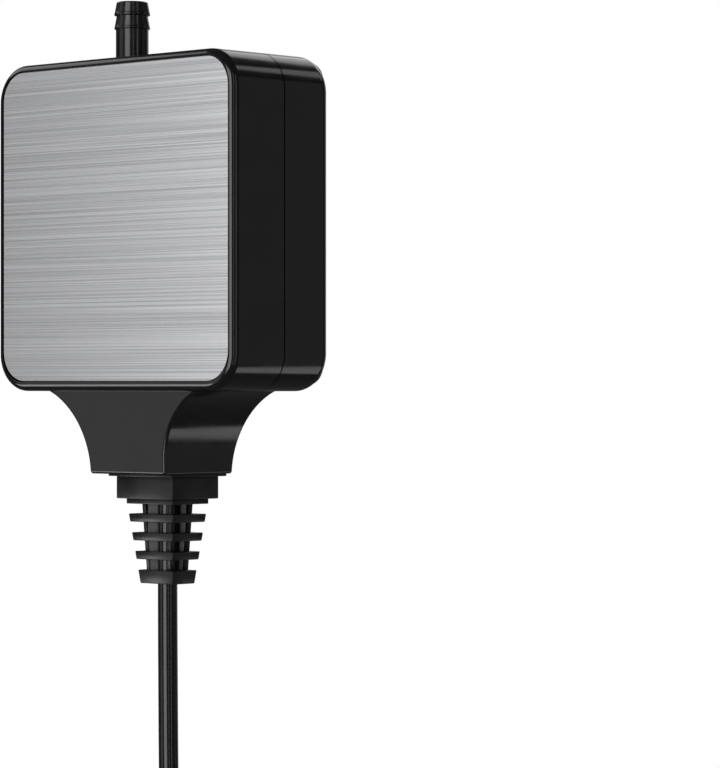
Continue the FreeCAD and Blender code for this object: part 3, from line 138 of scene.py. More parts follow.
def speckle(tree, size, stretch=(1, 1, 1), detail=3.0, turn=(0, 0, 0)):
    """Noise whose grains are about size metres, longer along the axes where stretch is above 1."""
    place = tree.nodes.new("ShaderNodeTexCoord")
    mapping = tree.nodes.new("ShaderNodeMapping")
    mapping.inputs["Rotation"].default_value = turn
    mapping.inputs["Scale"].default_value = [1 / (size * part) for part in stretch]
    noise = tree.nodes.new("ShaderNodeTexNoise")
    noise.inputs["Scale"].default_value = 1.0
    noise.inputs["Detail"].default_value = detail
    tree.links.new(place.outputs["Object"], mapping.inputs["Vector"])
    tree.links.new(mapping.outputs["Vector"], noise.inputs["Vector"])
    return noise.outputs["Fac"]


def spread(tree, grey, low, high, start=0.3, end=0.7):
    """Grey values from start to end turned into numbers from low to high."""
    node = tree.nodes.new("ShaderNodeMapRange")
    node.inputs["From Min"].default_value = start
    node.inputs["From Max"].default_value = end
    node.inputs["To Min"].default_value = low
    node.inputs["To Max"].default_value = high
    tree.links.new(grey, node.inputs["Value"])
    return node.outputs["Result"]


def shades(tree, grey, *stops):
    """Grey values turned into colours; each stop is a position and a colour."""
    node = tree.nodes.new("ShaderNodeValToRGB")
    elements = node.color_ramp.elements
    while len(elements) < len(stops):
        elements.new(0.5)
    for element, (position, colour) in zip(elements, stops):
        element.position = position
        element.color = (*colour, 1)
    tree.links.new(grey, node.inputs["Fac"])
    return node.outputs["Color"]


def relief(tree, shader, grey, depth, strength=1.0):
    """Fine relief on the surface, depth metres from its lows to its highs."""
    node = tree.nodes.new("ShaderNodeBump")
    node.inputs["Strength"].default_value = strength
    node.inputs["Distance"].default_value = depth
    tree.links.new(grey, node.inputs["Height"])
    tree.links.new(node.outputs["Normal"], shader.inputs["Normal"])


def grey(level):
    return (level, level, level)


def moulded(name, dark, light, rough_low, rough_high, grain, depth):
    """A moulded plastic or rubber: faint cloudiness in colour and gloss, and a fine skin."""
    material, tree, shader = new_finish(name)
    cloud = speckle(tree, 6 * mm)
    tree.links.new(shades(tree, cloud, (0.35, dark), (0.65, light)), shader.inputs["Base Color"])
    tree.links.new(spread(tree, cloud, rough_low, rough_high), shader.inputs["Roughness"])
    relief(tree, shader, speckle(tree, grain, detail=4.0), depth)
    return material


def dress(material, *names):
    """Give a finish to CAD nodes."""
    for name in names:
        for slot in nodes[name].material_slots:
            slot.material = material


print("helpers ready")

# %% [markdown]
# ## The cord and its hank
#
# The mains cord is round, 3 mm thick and about 1.5 m long, limp enough to hang straight. It comes
# out of the strain relief and drops down. The rest is put away as it comes out of the box: folded
# into a hank that a strap pinches in the middle, with the plug hanging below.
#
# It could be a mesh tube, but a curve keeps one smooth line from end to end. The straight points
# are listed. The folds are worked out by a loop: the cord comes down through the middle
# layer, then goes round and round, up on the left and down on the right, eight times. Each turn
# has its own layer and ring, so no two strands share a place. The last strand slips back into the
# middle layer and leaves at the bottom.
#
# The thickness comes from each point's radius, with a bevel of one: a curve's box is measured with
# its points' radius, so this keeps the box as tight as the cord.

# %% Sizes of the cord and its hank
cord_diameter = 3.0 * mm
cord_axis_y = -9.1 * mm
drop_points = [(0, -9.1, -29), (0, -9.1, -87.5)]
tail_points = [(0, -9.1, -158.6), (1.2, -8.6, -163.4), (0.6, -9.5, -168.6), (0, -9.1, -173.5)]
upper_fold_z = -100.1 * mm
lower_fold_z = -146.1 * mm
waist_z = (upper_fold_z + lower_fold_z) / 2
layer_step = 3.05 * mm
fold_radii = {"inner": 9.6 * mm, "outer": 12.6 * mm}
waist_columns = {"inner": 1.5 * mm, "outer": 4.5 * mm}
turns = [
    (1, "inner"), (2, "inner"), (2, "outer"), (1, "outer"),
    (-1, "outer"), (-2, "outer"), (-2, "inner"), (-1, "inner"),
]
print(len(turns), "turns about z", round(waist_z, 4))

# %% Work out the folds, turn by turn
fold_step = 30
corner_reach = 1 / math.cos(math.radians(fold_step) / 2)


def fold(centre_z, first, last, radius, y):
    """Control points round one fold, from angle first to angle last in degrees."""
    step = fold_step if last > first else -fold_step
    return [
        Vector((
            radius * corner_reach * math.cos(math.radians(angle)), y,
            centre_z + radius * corner_reach * math.sin(math.radians(angle)),
        ))
        for angle in range(first, last + step, step)
    ]


hank_points = [Vector((waist_columns["inner"], cord_axis_y + 0.1 * mm, waist_z))]
for number, (layer, ring) in enumerate(turns):
    y = cord_axis_y + layer * layer_step
    radius = fold_radii[ring]
    column = waist_columns[ring]
    hank_points += fold(lower_fold_z, 30, -210, radius, y)
    hank_points.append(Vector((-column, y, waist_z)))
    hank_points += fold(upper_fold_z, 210, -30, radius, y)
    if number + 1 < len(turns):
        next_layer, next_ring = turns[number + 1]
        shared_y = (y + cord_axis_y + next_layer * layer_step) / 2
        shared_x = (column + waist_columns[next_ring]) / 2
        hank_points.append(Vector((shared_x, shared_y, waist_z)))
hank_points.append(Vector((waist_columns["inner"], cord_axis_y - layer_step, waist_z + 2 * mm)))
print(len(hank_points), "points in the hank")

# %% Draw the cord as one smooth curve
route = [Vector(point) * mm for point in drop_points] + hank_points
route += [Vector(point) * mm for point in tail_points]
cord_curve = bpy.data.curves.new("power_cord_line", "CURVE")
cord_curve.dimensions = "3D"
line = cord_curve.splines.new("NURBS")
line.points.add(len(route) - 1)
for point, place in zip(line.points, route):
    point.co = (*place, 1)
    point.radius = cord_diameter / 2
line.order_u = 3
line.use_endpoint_u = True
line.resolution_u = 6
cord_curve.bevel_depth = 1.0
cord_curve.bevel_resolution = 5
cord_curve.use_fill_caps = True
cord = bpy.data.objects.new("mains_cord", cord_curve)
bpy.context.collection.objects.link(cord)
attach(cord, "housing")
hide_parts("power_cord", "cord_hank", "cord_tail")
print("cord drawn through", len(route), "points")

# %% [markdown]
# ## Studio: floor and lights
#
# The floor is a pale disc level with the lowest piece. The backdrop is the white world, which the
# camera sees at full strength and the object only dimly: gloss black shows whatever stands round
# it, so a world that is bright on every side would turn it grey.
#
# The lights are soft boxes, each with its own job. Gloss plastic mirrors them as clean bands along
# the rounded edges, so their places are chosen by where those bands run. Black plastic gives back
# a twentieth of the light and bare metal most of it, so the strongest boxes skip the metal, which
# has three softer ones to itself.

# %% Floor
floor_z = cad_low.z - 1 * mm
bpy.ops.object.select_all(action="DESELECT")
bpy.ops.mesh.primitive_circle_add(
    vertices=96, radius=0.9, fill_type="NGON", location=(0, 0, floor_z),
)
floor = bpy.context.object
floor.name = "studio_floor"
bpy.ops.object.transform_apply(location=True, rotation=True, scale=True)
floor_finish, tree, shader = new_finish("pale_floor")
tree.links.new(
    shades(tree, speckle(tree, 0.15), (0.3, grey(0.74)), (0.7, grey(0.80))),
    shader.inputs["Base Color"],
)
shader.inputs["Roughness"].default_value = 0.7
floor.data.materials.append(floor_finish)
floor.visible_glossy = False
floor.visible_shadow = False
print("floor at z", round(floor_z, 4))

# %% World: white behind, dim around
world = bpy.data.worlds.new("studio_world")
world.use_nodes = True
bpy.context.scene.world = world
world_nodes = world.node_tree.nodes
around = world_nodes["Background"]
around.inputs["Color"].default_value = (1, 1, 1, 1)
around.inputs["Strength"].default_value = 0.06
behind = world_nodes.new("ShaderNodeBackground")
behind.inputs["Color"].default_value = (1, 1, 1, 1)
behind.inputs["Strength"].default_value = 1.0
seen = world_nodes.new("ShaderNodeLightPath")
either = world_nodes.new("ShaderNodeMixShader")
world.node_tree.links.new(seen.outputs["Is Camera Ray"], either.inputs["Fac"])
world.node_tree.links.new(around.outputs["Background"], either.inputs[1])
world.node_tree.links.new(behind.outputs["Background"], either.inputs[2])
world.node_tree.links.new(either.outputs["Shader"], world_nodes["World Output"].inputs["Surface"])
bpy.context.scene.view_settings.view_transform = "Standard"
print("world ready")

# %% Helpers for the soft boxes
aim = Vector((0, parting_y, body_bottom))


def softbox(name, azimuth, distance, above, width, tall, glow):
    """An area light at an azimuth round the object, facing it; glow is its brightness per area."""
    turn = math.radians(azimuth)
    place = aim + Vector((math.sin(turn), -math.cos(turn), 0)) * distance + Vector((0, 0, above))
    bpy.ops.object.light_add(type="AREA", location=place)
    lamp = bpy.context.object
    lamp.name = name
    lamp.rotation_euler = (aim - place).to_track_quat("-Z", "Y").to_euler()
    lamp.data.shape = "RECTANGLE"
    lamp.data.size = width
    lamp.data.size_y = tall
    lamp.data.energy = glow * math.pi * width * tall
    lamp.visible_camera = False
    return lamp


def link_light(lamp, state, pieces):
    """Make a lamp light only these pieces ("INCLUDE"), or all but them ("EXCLUDE")."""
    chosen = bpy.data.collections.new(lamp.name + "_pieces")
    for piece in pieces:
        chosen.objects.link(piece)
    lamp.light_linking.receiver_collection = chosen
    for entry in chosen.collection_objects:
        entry.light_linking.link_state = state


flat_metal = [nodes["face_plate"], nodes["plug_blades"]]
print("lamps aim at", [round(value, 4) for value in aim])

# %% Boxes that skip the flat metal
front_strip = softbox("front_strip", 11, 1.0, 0.05, 0.60, 1.3, 3.2)
link_light(front_strip, "EXCLUDE", flat_metal)
rim_low = softbox("rim_low", -52, 0.80, -0.37, 0.34, 0.22, 3.6)
link_light(rim_low, "EXCLUDE", flat_metal)
left_top = softbox("left_top", -78, 0.8, 0.55, 0.50, 0.40, 1.6)
link_light(left_top, "EXCLUDE", flat_metal)
print("3 boxes for the plastic alone")

# %% Boxes for the flat metal alone, and one for the floor
metal_front = softbox("metal_front", 12, 1.2, 0.1, 0.9, 1.2, 0.62)
link_light(metal_front, "INCLUDE", flat_metal)
metal_left = softbox("metal_left", -29, 1.1, 0.1, 0.50, 1.3, 0.85)
link_light(metal_left, "INCLUDE", flat_metal)
metal_low = softbox("metal_low", -25, 0.8, -0.95, 1.2, 0.7, 0.55)
link_light(metal_low, "INCLUDE", flat_metal)
floor_light = softbox("floor_light", 0, 0.05, 1.6, 2.4, 2.4, 0.9)
link_light(floor_light, "INCLUDE", [floor])
print("3 boxes for the metal, 1 for the floor")

# %% Boxes for everything
softbox("left_fill", -38, 1.1, 0.0, 0.56, 1.4, 0.57)
softbox("narrow_strip", 53, 1.0, 0.05, 0.045, 1.2, 2.8)
softbox("right_strip", 84, 1.0, 0.0, 0.12, 1.2, 1.6)
softbox("side_fill", 135, 1.1, 0.0, 0.50, 1.0, 0.14)
softbox("top_band", 198, 0.80, 0.55, 0.52, 0.40, 1.35)
softbox("top_line", 157, 0.76, 0.55, 0.22, 0.24, 1.1)
softbox("low_band", 151, 0.60, -0.36, 0.17, 0.18, 1.25)
softbox("back_fill", -150, 1.3, 0.3, 0.7, 0.9, 0.45)
softbox("back_key", 188, 1.2, 0.0, 0.62, 0.70, 0.40)
print("9 boxes for everything")

# %% [markdown]
# ## Housing and plate
#
# The two shells are glossy black ABS. The shape is already right in the CAD model, so they only
# need a finish: nearly black, a clear gloss, and the very slight waviness that moulded walls have.
#
# The plate in the front is brushed aluminium. The brushing runs straight across, so its noise is
# stretched hundreds of times along X. Three sizes of streak are mixed: faint soft bands, single
# strokes, and hairlines. The streaks change the colour and the relief a little, and the strokes
# the gloss. The shader is anisotropic, because brushed metal spreads a reflection across them.

# %% Housing finish
housing_black = moulded(
    "housing_black", (0.0052, 0.0053, 0.0058), (0.0068, 0.0069, 0.0074), 0.10, 0.15,
    2.5 * mm, 0.004 * mm,
)
dress(housing_black, "front_shell", "rear_shell")
print("shells dressed")

# %% Brushed plate finish
brushed, tree, shader = new_finish("brushed_aluminium")
bands = speckle(tree, 0.8 * mm, stretch=(90, 1, 1), detail=0.0)
strokes = speckle(tree, 0.21 * mm, stretch=(330, 1, 1), detail=0.0)
hairlines = speckle(tree, 0.12 * mm, stretch=(600, 1, 1), detail=0.0)


def blend_greys(tree, first, second, share):
    """Two grey values mixed; share is the second's part."""
    node = tree.nodes.new("ShaderNodeMix")
    node.data_type = "FLOAT"
    node.inputs["Factor"].default_value = share
    tree.links.new(first, node.inputs["A"])
    tree.links.new(second, node.inputs["B"])
    return node.outputs["Result"]


brushing = blend_greys(tree, blend_greys(tree, bands, strokes, 0.94), hairlines, 0.45)
tree.links.new(
    shades(
        tree, brushing, (0.34, (0.52, 0.525, 0.54)), (0.50, (0.68, 0.685, 0.70)),
        (0.66, (0.84, 0.845, 0.86)),
    ),
    shader.inputs["Base Color"],
)
tree.links.new(spread(tree, strokes, 0.26, 0.36), shader.inputs["Roughness"])
relief(tree, shader, brushing, 0.004 * mm, 0.6)
shader.inputs["Metallic"].default_value = 1.0
shader.inputs["Anisotropic"].default_value = 0.8
shader.inputs["Anisotropic Rotation"].default_value = 0.25
dress(brushed, "face_plate")
print("plate dressed")

# %% Adhesive film under the plate
adhesive, tree, shader = new_finish("adhesive_film")
tree.links.new(
    shades(tree, speckle(tree, 1.5 * mm), (0.3, grey(0.55)), (0.7, grey(0.72))),
    shader.inputs["Base Color"],
)
shader.inputs["Roughness"].default_value = 0.35
dress(adhesive, "plate_adhesive")
print("film dressed")

# %% [markdown]
# ## The cord's jacket
#
# PVC is smooth and a little glossy, with a faint grain from the die that it was pressed through.
# It could share the housing's black, but it is softer and a little duller, so it has its own.

# %% Cord finish
jacket_black = moulded("cord_jacket", grey(0.005), grey(0.008), 0.14, 0.20, 0.8 * mm, 0.002 * mm)
cord.data.materials.append(jacket_black)
dress(jacket_black, "power_cord", "cord_hank", "cord_tail")
print("cord dressed")

# %% [markdown]
# ## Tools for modelling by hand
#
# The hand-made pieces all start from a primitive at its size and place. In edit mode, edges and
# faces are picked by their place, and then scaled, extruded or bevelled. These helpers pick and
# bevel, and put the object's origin back at the zero point when the piece is done, as the CAD
# nodes have it.

# %% Pick and leave
same_place = 1e-6


def edit(piece):
    """Go into edit mode on one piece, with nothing selected."""
    bpy.ops.object.select_all(action="DESELECT")
    bpy.context.view_layer.objects.active = piece
    piece.select_set(True)
    bpy.ops.object.mode_set(mode="EDIT")
    bpy.ops.mesh.select_all(action="DESELECT")
    bpy.ops.object.mode_set(mode="OBJECT")


def pick(piece, kind, wanted):
    """Select in edit mode the vertices, edges or faces that a test wants, and nothing else."""
    edit(piece)
    mesh = piece.data
    parts = {"VERT": mesh.vertices, "EDGE": mesh.edges, "FACE": mesh.polygons}[kind]
    for part in parts:
        if kind == "VERT":
            part.select = wanted(part.co)
        elif kind == "EDGE":
            part.select = wanted(*(mesh.vertices[corner].co for corner in part.vertices))
        else:
            part.select = wanted(part.center, part.normal)
    bpy.ops.object.mode_set(mode="EDIT")
    bpy.ops.mesh.select_mode(type=kind)


def leave():
    bpy.ops.object.mode_set(mode="OBJECT")


print("picking ready")

# %% Blocks, bevels and tapers
def block(name, centre, size):
    """A cube primitive as a block of a size, its place already in its mesh."""
    bpy.ops.object.select_all(action="DESELECT")
    bpy.ops.mesh.primitive_cube_add(size=1, location=centre, scale=size)
    piece = bpy.context.object
    piece.name = name
    bpy.ops.object.transform_apply(location=True, rotation=True, scale=True)
    return piece


def soften(piece, width, segments=2, wanted=lambda a, b: True):
    """Bevel the edges that a test wants."""
    pick(piece, "EDGE", wanted)
    bpy.ops.mesh.bevel(offset=width, segments=segments, affect="EDGES")
    leave()


def narrow_end(piece, z, centre, across, deep):
    """Scale the ring of corners at a height, to taper a block towards its end."""
    pick(piece, "VERT", lambda place: abs(place.z - z) < same_place)
    bpy.ops.transform.resize(value=(across, deep, 1), center_override=(centre.x, centre.y, z))
    leave()


def flat_in(axis, a, b):
    """True if an edge from a to b keeps one value along an axis (0 is X, 1 is Y, 2 is Z)."""
    return abs(a[axis] - b[axis]) < same_place


print("blocks ready")

# %% Join the parts and complete a piece
def merge(name, pieces):
    """Join pieces into one object with one mesh."""
    bpy.ops.object.select_all(action="DESELECT")
    for piece in pieces:
        piece.select_set(True)
    bpy.context.view_layer.objects.active = pieces[0]
    bpy.ops.object.join()
    whole = bpy.context.object
    whole.name = name
    whole.data.name = name
    return whole


def complete(piece, material, body, slot, *replaced, smooth=35):
    """Smooth shading up to an angle, finish, body and the CAD nodes it stands for; slot is not
    used.
    """
    bpy.ops.object.select_all(action="DESELECT")
    bpy.context.view_layer.objects.active = piece
    piece.select_set(True)
    bpy.ops.object.shade_smooth_by_angle(angle=math.radians(smooth))
    piece.data.materials.clear()
    piece.data.materials.append(material)
    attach(piece, body)
    if replaced:
        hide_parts(*replaced)
    print(piece.name, len(piece.data.polygons), "faces")


print("modelling helpers ready")

# %% [markdown]
# ## The strain relief
#
# Under the neck the cord leaves through a moulded rubber relief: a thin skirt, a square collar,
# a thin shoulder, three fins and an end block that get smaller downwards. Between them stand four
# corner posts and two thin diagonal webs, so the relief can bend. Inside the housing a stem and an
# anchor hold it.
#
# It could be cut from one tapered block. Building it from the same parts that a mould maker would
# draw, each with its own softened edges, catches the light along every edge.

# %% Sizes of the strain relief
relief_low, relief_high = (Vector(corner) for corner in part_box("strain_relief"))
relief_axis = Vector((0, cord_axis_y, 0))
skirt = Vector((13.8, 11.6, 0.4)) * mm
collar = Vector((12.2, 9.8, 3.4)) * mm
shoulder = Vector((10.0, 7.7, 0.8)) * mm
anchor = Vector((11.6, 8.4, 1.8)) * mm
stem = Vector((9.0, 7.2)) * mm
first_fin_z = neck_bottom - 6.1 * mm
fin_pitch = 2.85 * mm
fin_height = 1.25 * mm
end_block_height = 2.05 * mm
fin_count = 3
fin_top = Vector((9.6, 7.2)) * mm
fin_end = Vector((7.0, 4.75)) * mm
core_top = Vector((6.4, 4.7)) * mm
core_end = Vector((5.2, 3.8)) * mm
post = 0.75 * mm
post_edge = 0.08 * mm
web_thickness = 0.6 * mm
web_inset = 0.3 * mm
housing_floor = 1.6 * mm
taper_height = fin_count * fin_pitch + end_block_height
print("relief from", round(relief_low.z, 4), "to", round(relief_high.z, 4))

# %% Model the relief's blocks
def hanging_block(name, top_z, size, end_size=None, edge=0.15 * mm):
    """A block on the cord's axis that hangs from a height, narrower at its end if asked."""
    piece = block(name, relief_axis + Vector((0, 0, top_z - size.z / 2)), size)
    if end_size:
        narrow_end(piece, top_z - size.z, relief_axis, end_size.x / size.x, end_size.y / size.y)
    soften(piece, edge)
    return piece


def at_depth(top, end, drop, whole):
    """The size of a taper at a distance under its top."""
    return top.lerp(end, drop / whole)


parts = [hanging_block("relief_skirt", neck_bottom, skirt, edge=0.08 * mm)]
collar_top = neck_bottom - skirt.z
parts.append(hanging_block("relief_collar", collar_top, collar))
shoulder_top = collar_top - collar.z
parts.append(hanging_block("relief_shoulder", shoulder_top, shoulder, edge=0.12 * mm))
for number in range(fin_count + 1):
    drop = number * fin_pitch
    height = fin_height if number < fin_count else end_block_height
    wide = at_depth(fin_top, fin_end, drop, taper_height)
    slim = at_depth(fin_top, fin_end, drop + height, taper_height)
    fin_size = Vector((*wide, height))
    parts.append(hanging_block(f"relief_fin_{number}", first_fin_z - drop, fin_size, slim))
floor_top = neck_bottom + housing_floor
parts.append(hanging_block("relief_anchor", floor_top + anchor.z, anchor))
parts.append(hanging_block("relief_stem", floor_top, Vector((*stem, housing_floor))))
print(len(parts), "blocks")

# %% Add the four corner posts
post_top = shoulder_top
post_height = post_top - (first_fin_z - fin_count * fin_pitch)
post_end = post_top - post_height
post_middle = Vector((0, 0, post_top - post_height / 2))


def corner_at(core, side_x, side_y):
    """The axis of a post in one corner of the core."""
    return relief_axis + Vector((side_x * (core.x - post) / 2, side_y * (core.y - post) / 2, 0))


for side_x in (-1, 1):
    for side_y in (-1, 1):
        top_at = corner_at(core_top, side_x, side_y)
        leg = block("relief_post", top_at + post_middle, (post, post, post_height))
        pick(leg, "VERT", lambda place: abs(place.z - post_end) < same_place)
        bpy.ops.transform.translate(value=corner_at(core_end, side_x, side_y) - top_at)
        leave()
        soften(leg, post_edge)
        parts.append(leg)
print("posts", round(post_height, 4), "high")

# %% Add the two diagonal webs and join the relief
web_size = Vector((core_end.length - 2 * web_inset, web_thickness, post_height))
web_turn = math.atan2(core_end.y, core_end.x)
for side in (-1, 1):
    web = block("relief_web", relief_axis + post_middle, web_size)
    pick(web, "VERT", lambda place: True)
    bpy.ops.transform.rotate(value=side * web_turn, orient_axis="Z", center_override=relief_axis)
    leave()
    parts.append(web)
strain_relief = merge("moulded_strain_relief", parts)
relief_rubber = moulded(
    "relief_rubber", grey(0.006), grey(0.010), 0.26, 0.38, 0.25 * mm, 0.012 * mm,
)
complete(strain_relief, relief_rubber, "housing", "relief_rubber", "strain_relief")
print("relief joined from", len(parts), "parts")

# %% [markdown]
# ## The air nozzle
#
# The nozzle is a moulded tube with two barbs that hold the air hose. It could be stacked from
# cylinders and cones, but then it would have seams at every step. So it is drawn as one ring of
# points that is extruded upwards and widened or narrowed step by step, as on a lathe. Short steps
# at each crest round the barbs, and the last rings turn over the lip and go down the bore.

# %% Turn a round piece from its rings
def turned(name, centre, rings, count=64):
    """Extrude a circle along Z; each ring is its height and radius in millimetres."""
    first_z, first_radius = rings[0]
    bpy.ops.object.select_all(action="DESELECT")
    bpy.ops.mesh.primitive_circle_add(
        vertices=count, radius=first_radius * mm, fill_type="NGON",
        location=(centre.x, centre.y, first_z * mm),
    )
    piece = bpy.context.object
    piece.name = name
    bpy.ops.object.transform_apply(location=True, rotation=True, scale=True)
    bpy.ops.object.mode_set(mode="EDIT")
    bpy.ops.mesh.select_all(action="SELECT")
    z, radius = first_z, first_radius
    for next_z, next_radius in rings[1:]:
        bpy.ops.mesh.extrude_region_move(
            TRANSFORM_OT_translate={"value": (0, 0, (next_z - z) * mm)},
        )
        share = next_radius / radius
        bpy.ops.transform.resize(
            value=(share, share, 1), center_override=(centre.x, centre.y, next_z * mm),
        )
        z, radius = next_z, next_radius
    bpy.ops.mesh.select_all(action="SELECT")
    bpy.ops.mesh.normals_make_consistent(inside=False)
    bpy.ops.object.mode_set(mode="OBJECT")
    return piece


# %% Sizes of the nozzle, in millimetres
nozzle_low, nozzle_high = (Vector(corner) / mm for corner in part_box("outlet_nozzle"))
seal_low, seal_high = (Vector(corner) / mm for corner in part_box("nozzle_seal"))
nozzle_axis = middle("outlet_nozzle")
shaft = 2.5
crest = 2.75
bore = 1.3
bore_floor = 1.0
barb_pitch = 2.1
lip = 0.25
duct_wall = 1.2
step = 0.001
flange = (seal_high.x - seal_low.x) / 2
flange_height = 1.0
flange_low = seal_low.z - flange_height
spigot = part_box("outlet_duct")[1][0] / mm - nozzle_axis.x / mm - duct_wall
top = nozzle_high.z
print("nozzle top", round(top, 2), "spigot radius", round(spigot, 2))

# %% Model the nozzle
def barb(z):
    """One barb from its steep underside at a height: a rounded crest, then a long taper."""
    return [
        (z, shaft), (z + 0.02, crest - 0.1), (z + 0.08, crest - 0.02), (z + 0.18, crest),
        (z + 0.3, crest - 0.01), (z + 0.42, crest - 0.06), (z + 0.55, crest - 0.085),
        (z + barb_pitch - 0.3, shaft - 0.07), (z + barb_pitch - 0.04, shaft - 0.1),
    ]


rings = [(nozzle_low.z, spigot), (flange_low, spigot), (flange_low + step, flange)]
rings += [(seal_low.z, flange), (seal_low.z + step, shaft)]
rings += barb(top - 2 * barb_pitch) + barb(top - barb_pitch)[:-1]
rings += [(top - 0.16, shaft - 0.09), (top - 0.06, shaft - 0.14), (top, shaft - 0.3)]
rings += [(top, bore + lip), (top - 0.08, bore + 0.08), (top - lip, bore)]
rings += [(nozzle_low.z + bore_floor, bore)]
nozzle = turned("air_nozzle", nozzle_axis, rings)
nozzle_black = moulded("nozzle_black", grey(0.006), grey(0.009), 0.16, 0.24, 0.8 * mm, 0.003 * mm)
complete(nozzle, nozzle_black, "housing", "nozzle_black", "outlet_nozzle", smooth=50)

# %% [markdown]
# ## The felt behind the inlet slots
#
# Air is drawn in through slots in the back, past a pad of pale felt. It could be a plain block
# with a rough finish, but a felt pad has no crisp edges and no flat faces. So the block's edges
# are softened, it is divided into small faces, and its surface is shaken a little. Its finish is
# fibrous, made of noise stretched in two directions.

# %% Model the felt
felt_low, felt_high = (Vector(corner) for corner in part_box("inlet_filter"))
felt = block("felt_pad", (felt_low + felt_high) / 2, felt_high - felt_low)
soften(felt, 0.25 * mm, 3)
edit(felt)
bpy.ops.object.mode_set(mode="EDIT")
bpy.ops.mesh.select_all(action="SELECT")
bpy.ops.mesh.subdivide(number_cuts=14)
bpy.ops.transform.vertex_random(offset=0.03 * mm, seed=7)
leave()
print("felt", len(felt.data.vertices), "points")

# %% Felt finish
felt_pale, tree, shader = new_finish("felt")
fibres = blend_greys(
    tree, speckle(tree, 0.12 * mm, stretch=(6, 1, 1), turn=(0, 0.5, 0)),
    speckle(tree, 0.12 * mm, stretch=(1, 1, 6), turn=(0, 0.3, 0)), 0.5,
)
tree.links.new(
    shades(tree, fibres, (0.38, (0.42, 0.41, 0.38)), (0.62, (0.74, 0.73, 0.69))),
    shader.inputs["Base Color"],
)
tree.links.new(spread(tree, fibres, 0.8, 0.98), shader.inputs["Roughness"])
relief(tree, shader, fibres, 0.15 * mm)
shader.inputs["Sheen Weight"].default_value = 0.3
complete(felt, felt_pale, "housing", "felt", "inlet_filter")

# %% [markdown]
# ## The strap round the hank
#
# The hank is pinched by a black hook-and-loop strap, wrapped tight and overlapped at the front.
# It could be one long strip bent round, but the overlap would then have to be steered by hand.
# Here the band starts as a block that is open above and below, with its upright edges rounded
# over the cord, and gets its thickness from Solidify. The loose end is a second, shorter strip
# with a round tip, lying on the band.

# %% Model the band
band_thickness = 0.9 * mm
band_corner = 2.6 * mm
band_edge = 0.18 * mm
tie_low, tie_high = (Vector(corner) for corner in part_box("cord_tie"))
tie_middle = (tie_low + tie_high) / 2
tie_size = tie_high - tie_low
band = block("cord_strap", tie_middle, tie_size)
pick(band, "FACE", lambda centre, normal: abs(normal.z) > 0.9)
bpy.ops.mesh.delete(type="FACE")
leave()
soften(band, band_corner, 6, lambda a, b: not flat_in(2, a, b))
thicken = band.modifiers.new("thickness", "SOLIDIFY")
thicken.thickness = band_thickness
thicken.offset = -1
thicken.use_even_offset = True
bpy.ops.object.modifier_apply(modifier=thicken.name)
soften(band, band_edge, 2, lambda a, b: flat_in(2, a, b))
print("band", [round(value, 4) for value in tie_size])

# %% Model the strap's loose end
end_thickness = 0.7 * mm
end_edge = 0.15 * mm
tip_corner = 1.9 * mm
end_size = Vector((7.6 * mm, end_thickness, tie_size.z * 0.94))
end_middle = Vector((1.2 * mm, tie_low.y - 0.33 * mm, tie_middle.z))
tip_x = end_middle.x - end_size.x / 2
strap_end = block("strap_end", end_middle, end_size)
soften(
    strap_end, tip_corner, 6,
    lambda a, b: not flat_in(1, a, b) and abs(a.x - tip_x) < same_place,
)
soften(strap_end, end_edge, 2, lambda a, b: flat_in(1, a, b))
strap = merge("cord_strap", [band, strap_end])
print("strap joined")

# %% Strap finish
strap_black, tree, shader = new_finish("strap_black")
loops = speckle(tree, 0.16 * mm, detail=4.0)
tree.links.new(
    shades(tree, loops, (0.35, grey(0.010)), (0.65, grey(0.034))), shader.inputs["Base Color"],
)
tree.links.new(spread(tree, loops, 0.75, 0.95), shader.inputs["Roughness"])
relief(tree, shader, loops, 0.18 * mm)
complete(strap, strap_black, "housing", "tie_black", "cord_tie")

# %% [markdown]
# ## The plug
#
# The plug is a flat moulded body with two blades, and a sleeve that carries the cord. Its body
# starts as a block with round corners, and a shallow panel is set into each flat face. Four grip
# ribs cross each narrow side. The sleeve is turned from rings like the nozzle, with grooves that
# let it bend, and then made flatter. All of it could be one shape pulled out of a block, but
# separate simple parts stay easy to change, and joined they look like one moulding.

# %% Model the plug's body
sleeve_height = 11 * mm
plug_body_height = 19 * mm
plug_corner = 4 * mm
plug_edge = 1.2 * mm
plug_low, plug_high = (Vector(corner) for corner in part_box("plug_body"))
plug_middle = (plug_low + plug_high) / 2
body_top_z = plug_high.z - sleeve_height
body_size = Vector((plug_high.x - plug_low.x, plug_high.y - plug_low.y, plug_body_height))
body_middle = Vector((plug_middle.x, plug_middle.y, body_top_z - body_size.z / 2))
plug_body = block("plug_block", body_middle, body_size)
soften(plug_body, plug_corner, 8, lambda a, b: not flat_in(1, a, b))
soften(plug_body, plug_edge, 4, lambda a, b: flat_in(1, a, b))
print("plug body", [round(value, 4) for value in body_size])

# %% Add the grip ribs
rib_count = 4
rib_pitch = 2.6 * mm
rib_sunk = 0.1 * mm
rib_edge = 0.4 * mm
rib_size = Vector((0.9 * mm, body_size.y - 3.4 * mm, 1.2 * mm))
plug_parts = [plug_body]
for side in (-1, 1):
    rib_x = side * (body_size.x / 2 - rib_sunk)
    for number in range(rib_count):
        rib_z = body_middle.z + (number - (rib_count - 1) / 2) * rib_pitch
        rib = block("grip_rib", Vector((rib_x, body_middle.y, rib_z)), rib_size)
        soften(rib, rib_edge, 3)
        plug_parts.append(rib)
print(len(plug_parts), "parts in the plug's body")

